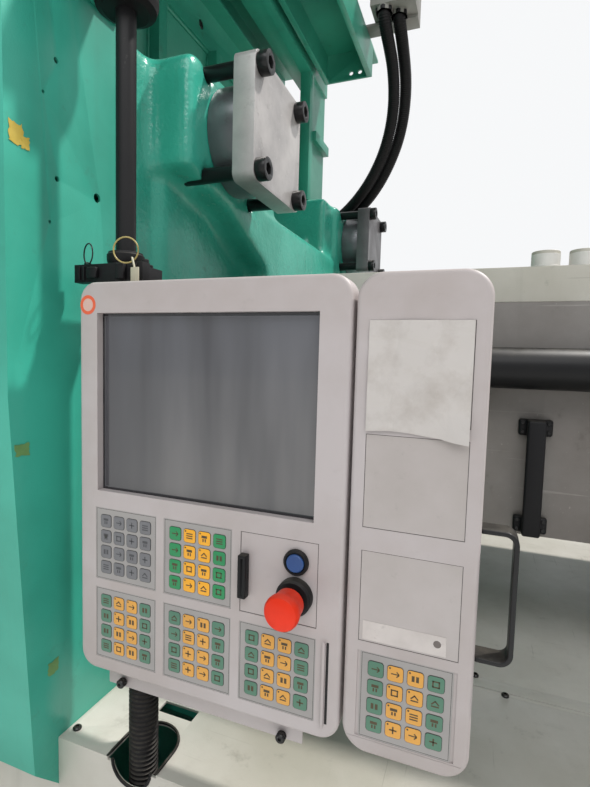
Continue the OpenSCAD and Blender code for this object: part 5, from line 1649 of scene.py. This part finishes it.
class MACHINE_OT_conduit(Maker, bpy.types.Operator):
    """Ribbed conduit from the panel into the bed"""
    bl_idname = "machine.conduit"
    bl_label = "Panel conduit"
    length = 0.425
    radius, rib_depth = 0.021, 0.003
    rib_shape = (0, 0.15, 1, 1, 1, 0.15)

    def execute(self, context):
        x, y, top = CONDUIT_TOP
        route = [(x, y, top - self.length * k / 6) for k in range(7)]
        tube = ribbed_tube("panel_conduit_dressed", route, self.radius, sizes().rib_pitch,
                           self.rib_depth, 28, self.rib_shape)
        hand_over(paint(tube, rubber()), "base", "black_rubber", "panel_conduit")
        return {"FINISHED"}


class MACHINE_OT_injection(Maker, bpy.types.Operator):
    """Carriage, barrel, crosshead, hopper and the cylinders of the injection unit"""
    bl_idname = "machine.injection"
    bl_label = "Injection unit"
    # Middle and foot of the hopper, face of the motor's flange, face of the injection cylinders
    hopper_middle, hopper_foot = 2.08, 1.820
    motor_face = 3.400
    cylinder_face, cylinder_side = 2.25, 0.22
    # Heater bands along the barrel
    first_band, band_step, band_count = 0.51, 0.2, 7

    def execute(self, context):
        dress("carriage", 4 * MM, mint())
        dress("crosshead", 4 * MM, mint())
        heated = brushed("heated_steel", srgb(140, 128, 112), srgb(92, 82, 74), (110, 8, 8), gloss=0.36)
        keep("barrel", heated)
        keep("screw", chrome())
        dress("hopper", 1 * MM, bright_sheet())
        dress("hopper_lid", 1.2 * MM, bright_sheet())
        dress("pull_cylinders", 3 * MM, black_paint("cylinder_black", 0.42, coat=0.0))
        keep("pull_rods", chrome())
        self.flange_bolts()
        self.bands()
        self.sight_glass()
        return {"FINISHED"}

    def flange_bolts(self):
        """Bolts round the hopper's foot, the motor and both injection cylinders."""
        eighths = part_turns(8)
        foot = [(self.hopper_middle + dx, dy, self.hopper_foot) for dx, dy in on_circle(0.145, eighths)]
        bolts("hopper_bolts", "+Z", foot, 0.018, 0.012, "carriage")
        between = [a + 0.39 for a in eighths]
        motor = [(self.motor_face, dy, AXIS + dz) for dy, dz in on_circle(0.155, between)]
        bolts("motor_bolts", "+X", motor, 0.022, 0.014, "crosshead")
        diagonals = (0.8, 2.35, 3.93, 5.5)
        ends = [(self.cylinder_face, side * self.cylinder_side + dy, AXIS + dz) for side in (-1, 1)
                for dy, dz in on_circle(0.105, diagonals)]
        bolts("cylinder_bolts", "+X", ends, 0.020, 0.012, "carriage")

    def bands(self):
        """Clamping bolts and terminal boxes of the heater bands."""
        box = soft_block("band_box", (0.045, -0.022, 0.112), (0.105, 0.022, 0.132), 0.003)
        strap = soft_block("band_strap", (0.02, -0.012, -0.128), (0.13, 0.012, -0.113), 0.002)
        pattern = join([box, strap], "band_fitting")
        places = [(self.first_band + self.band_step * n, 0, AXIS) for n in range(self.band_count)]
        piece = paint(copies(pattern, places, "band_fittings"), steel())
        hand_over(piece, "carriage", "plain_steel")

    def sight_glass(self):
        """Sight glass in a frame on the hopper's wall, towards the operator."""
        front, back, sunk = -0.3245, -0.3165, 0.003
        holder = soft_block("sight_frame", (2.050, front, 2.28), (2.110, back, 2.44), 0.003)
        pick_front(holder, 0.95)
        bpy.ops.mesh.inset(thickness=0.010)
        extrude(0, sunk, 0)
        leave_edit()
        paint(holder, black_moulded(), glass("sight_glass", srgb(120, 126, 128)))
        mark_faces(holder, lambda centre, normal: normal.y < -0.95 and centre.y > front + 0.002, 1)
        hand_over(holder, "carriage", "black_plastic")


class MACHINE_OT_barrel_guard(Maker, bpy.types.Operator):
    """Guard round the barrel, its sliding shield and handle"""
    bl_idname = "machine.barrel_guard"
    bl_label = "Barrel guard"
    # The shield's inner face is moved off the guard by the running gap
    shield_inside = -0.383
    running_gap = 0.5 * MM
    handle_middle, handle_half, handle_foot = 0.920, 0.0215, -0.397
    cap_places = [(0.923, -0.353, 1.687), (0.985, -0.353, 1.687)]
    rail_screws = [(x, -0.385, 1.66) for x in (0.60, 1.0, 1.4, 1.8)]

    def execute(self, context):
        dress("barrel_guard", 3 * MM, cream(), 3)
        shield = dress("guard_shield", 1.2 * MM, guard_paint())
        for point in shield.data.vertices:
            if point.co.y > self.shield_inside:
                point.co.y -= self.running_gap
        dress("guard_handle", 4 * MM, black_moulded(), 3)
        feet = [(self.handle_middle + side * self.handle_half, self.handle_foot, z)
                for side in (-1, 1) for z in (1.213, 1.229, 1.391, 1.407)]
        screws("handle_screws", "-Y", feet, 0.007, 0.002, black_paint(), "shield", "black_plastic")
        cap = turned("guard_cap", [(0, 0.026), (0.003, 0.026), (0.004, 0.0242), (0.024, 0.0242),
                                   (0.030, 0.020)], 36)
        white = plain("cap_white", srgb(214, 212, 206), gloss=0.35)
        caps = paint(copies(cap, self.cap_places, "guard_caps"), white)
        hand_over(caps, "carriage", "cream_paint")
        screws("rail_screws", "-Y", self.rail_screws, 0.012, 0.004, steel(), "carriage", "cream_paint")
        return {"FINISHED"}


OPERATORS = (
    MACHINE_OT_stage, MACHINE_OT_bed, MACHINE_OT_casting, MACHINE_OT_tie_ends, MACHINE_OT_covers,
    MACHINE_OT_doors, MACHINE_OT_hoses, MACHINE_OT_pole, MACHINE_OT_panel, MACHINE_OT_keypads,
    MACHINE_OT_buttons, MACHINE_OT_side_panel, MACHINE_OT_conduit, MACHINE_OT_injection,
    MACHINE_OT_barrel_guard,
)


class MACHINE_PT_pieces(bpy.types.Panel):
    """Lists the pieces of the machine"""
    bl_label = "Injection moulding machine"
    bl_space_type = "VIEW_3D"
    bl_region_type = "UI"
    bl_category = "Machine"

    def draw(self, context):
        for operator in OPERATORS:
            self.layout.operator(operator.bl_idname)
        for group in (context.scene.machine_sizes, context.scene.machine_colours):
            for key in group.__annotations__:
                self.layout.prop(group, key)


CLASSES = (MachineSizes, MachineColours) + OPERATORS + (MACHINE_PT_pieces,)


def register():
    for kind in CLASSES:
        bpy.utils.register_class(kind)
    bpy.types.Scene.machine_sizes = PointerProperty(type=MachineSizes)
    bpy.types.Scene.machine_colours = PointerProperty(type=MachineColours)


def unregister():
    del bpy.types.Scene.machine_sizes
    del bpy.types.Scene.machine_colours
    for kind in reversed(CLASSES):
        bpy.utils.unregister_class(kind)


def main():
    register()
    for operator in OPERATORS:
        group, action = operator.bl_idname.split(".")
        getattr(getattr(bpy.ops, group), action)()


if __name__ == "__main__":
    main()
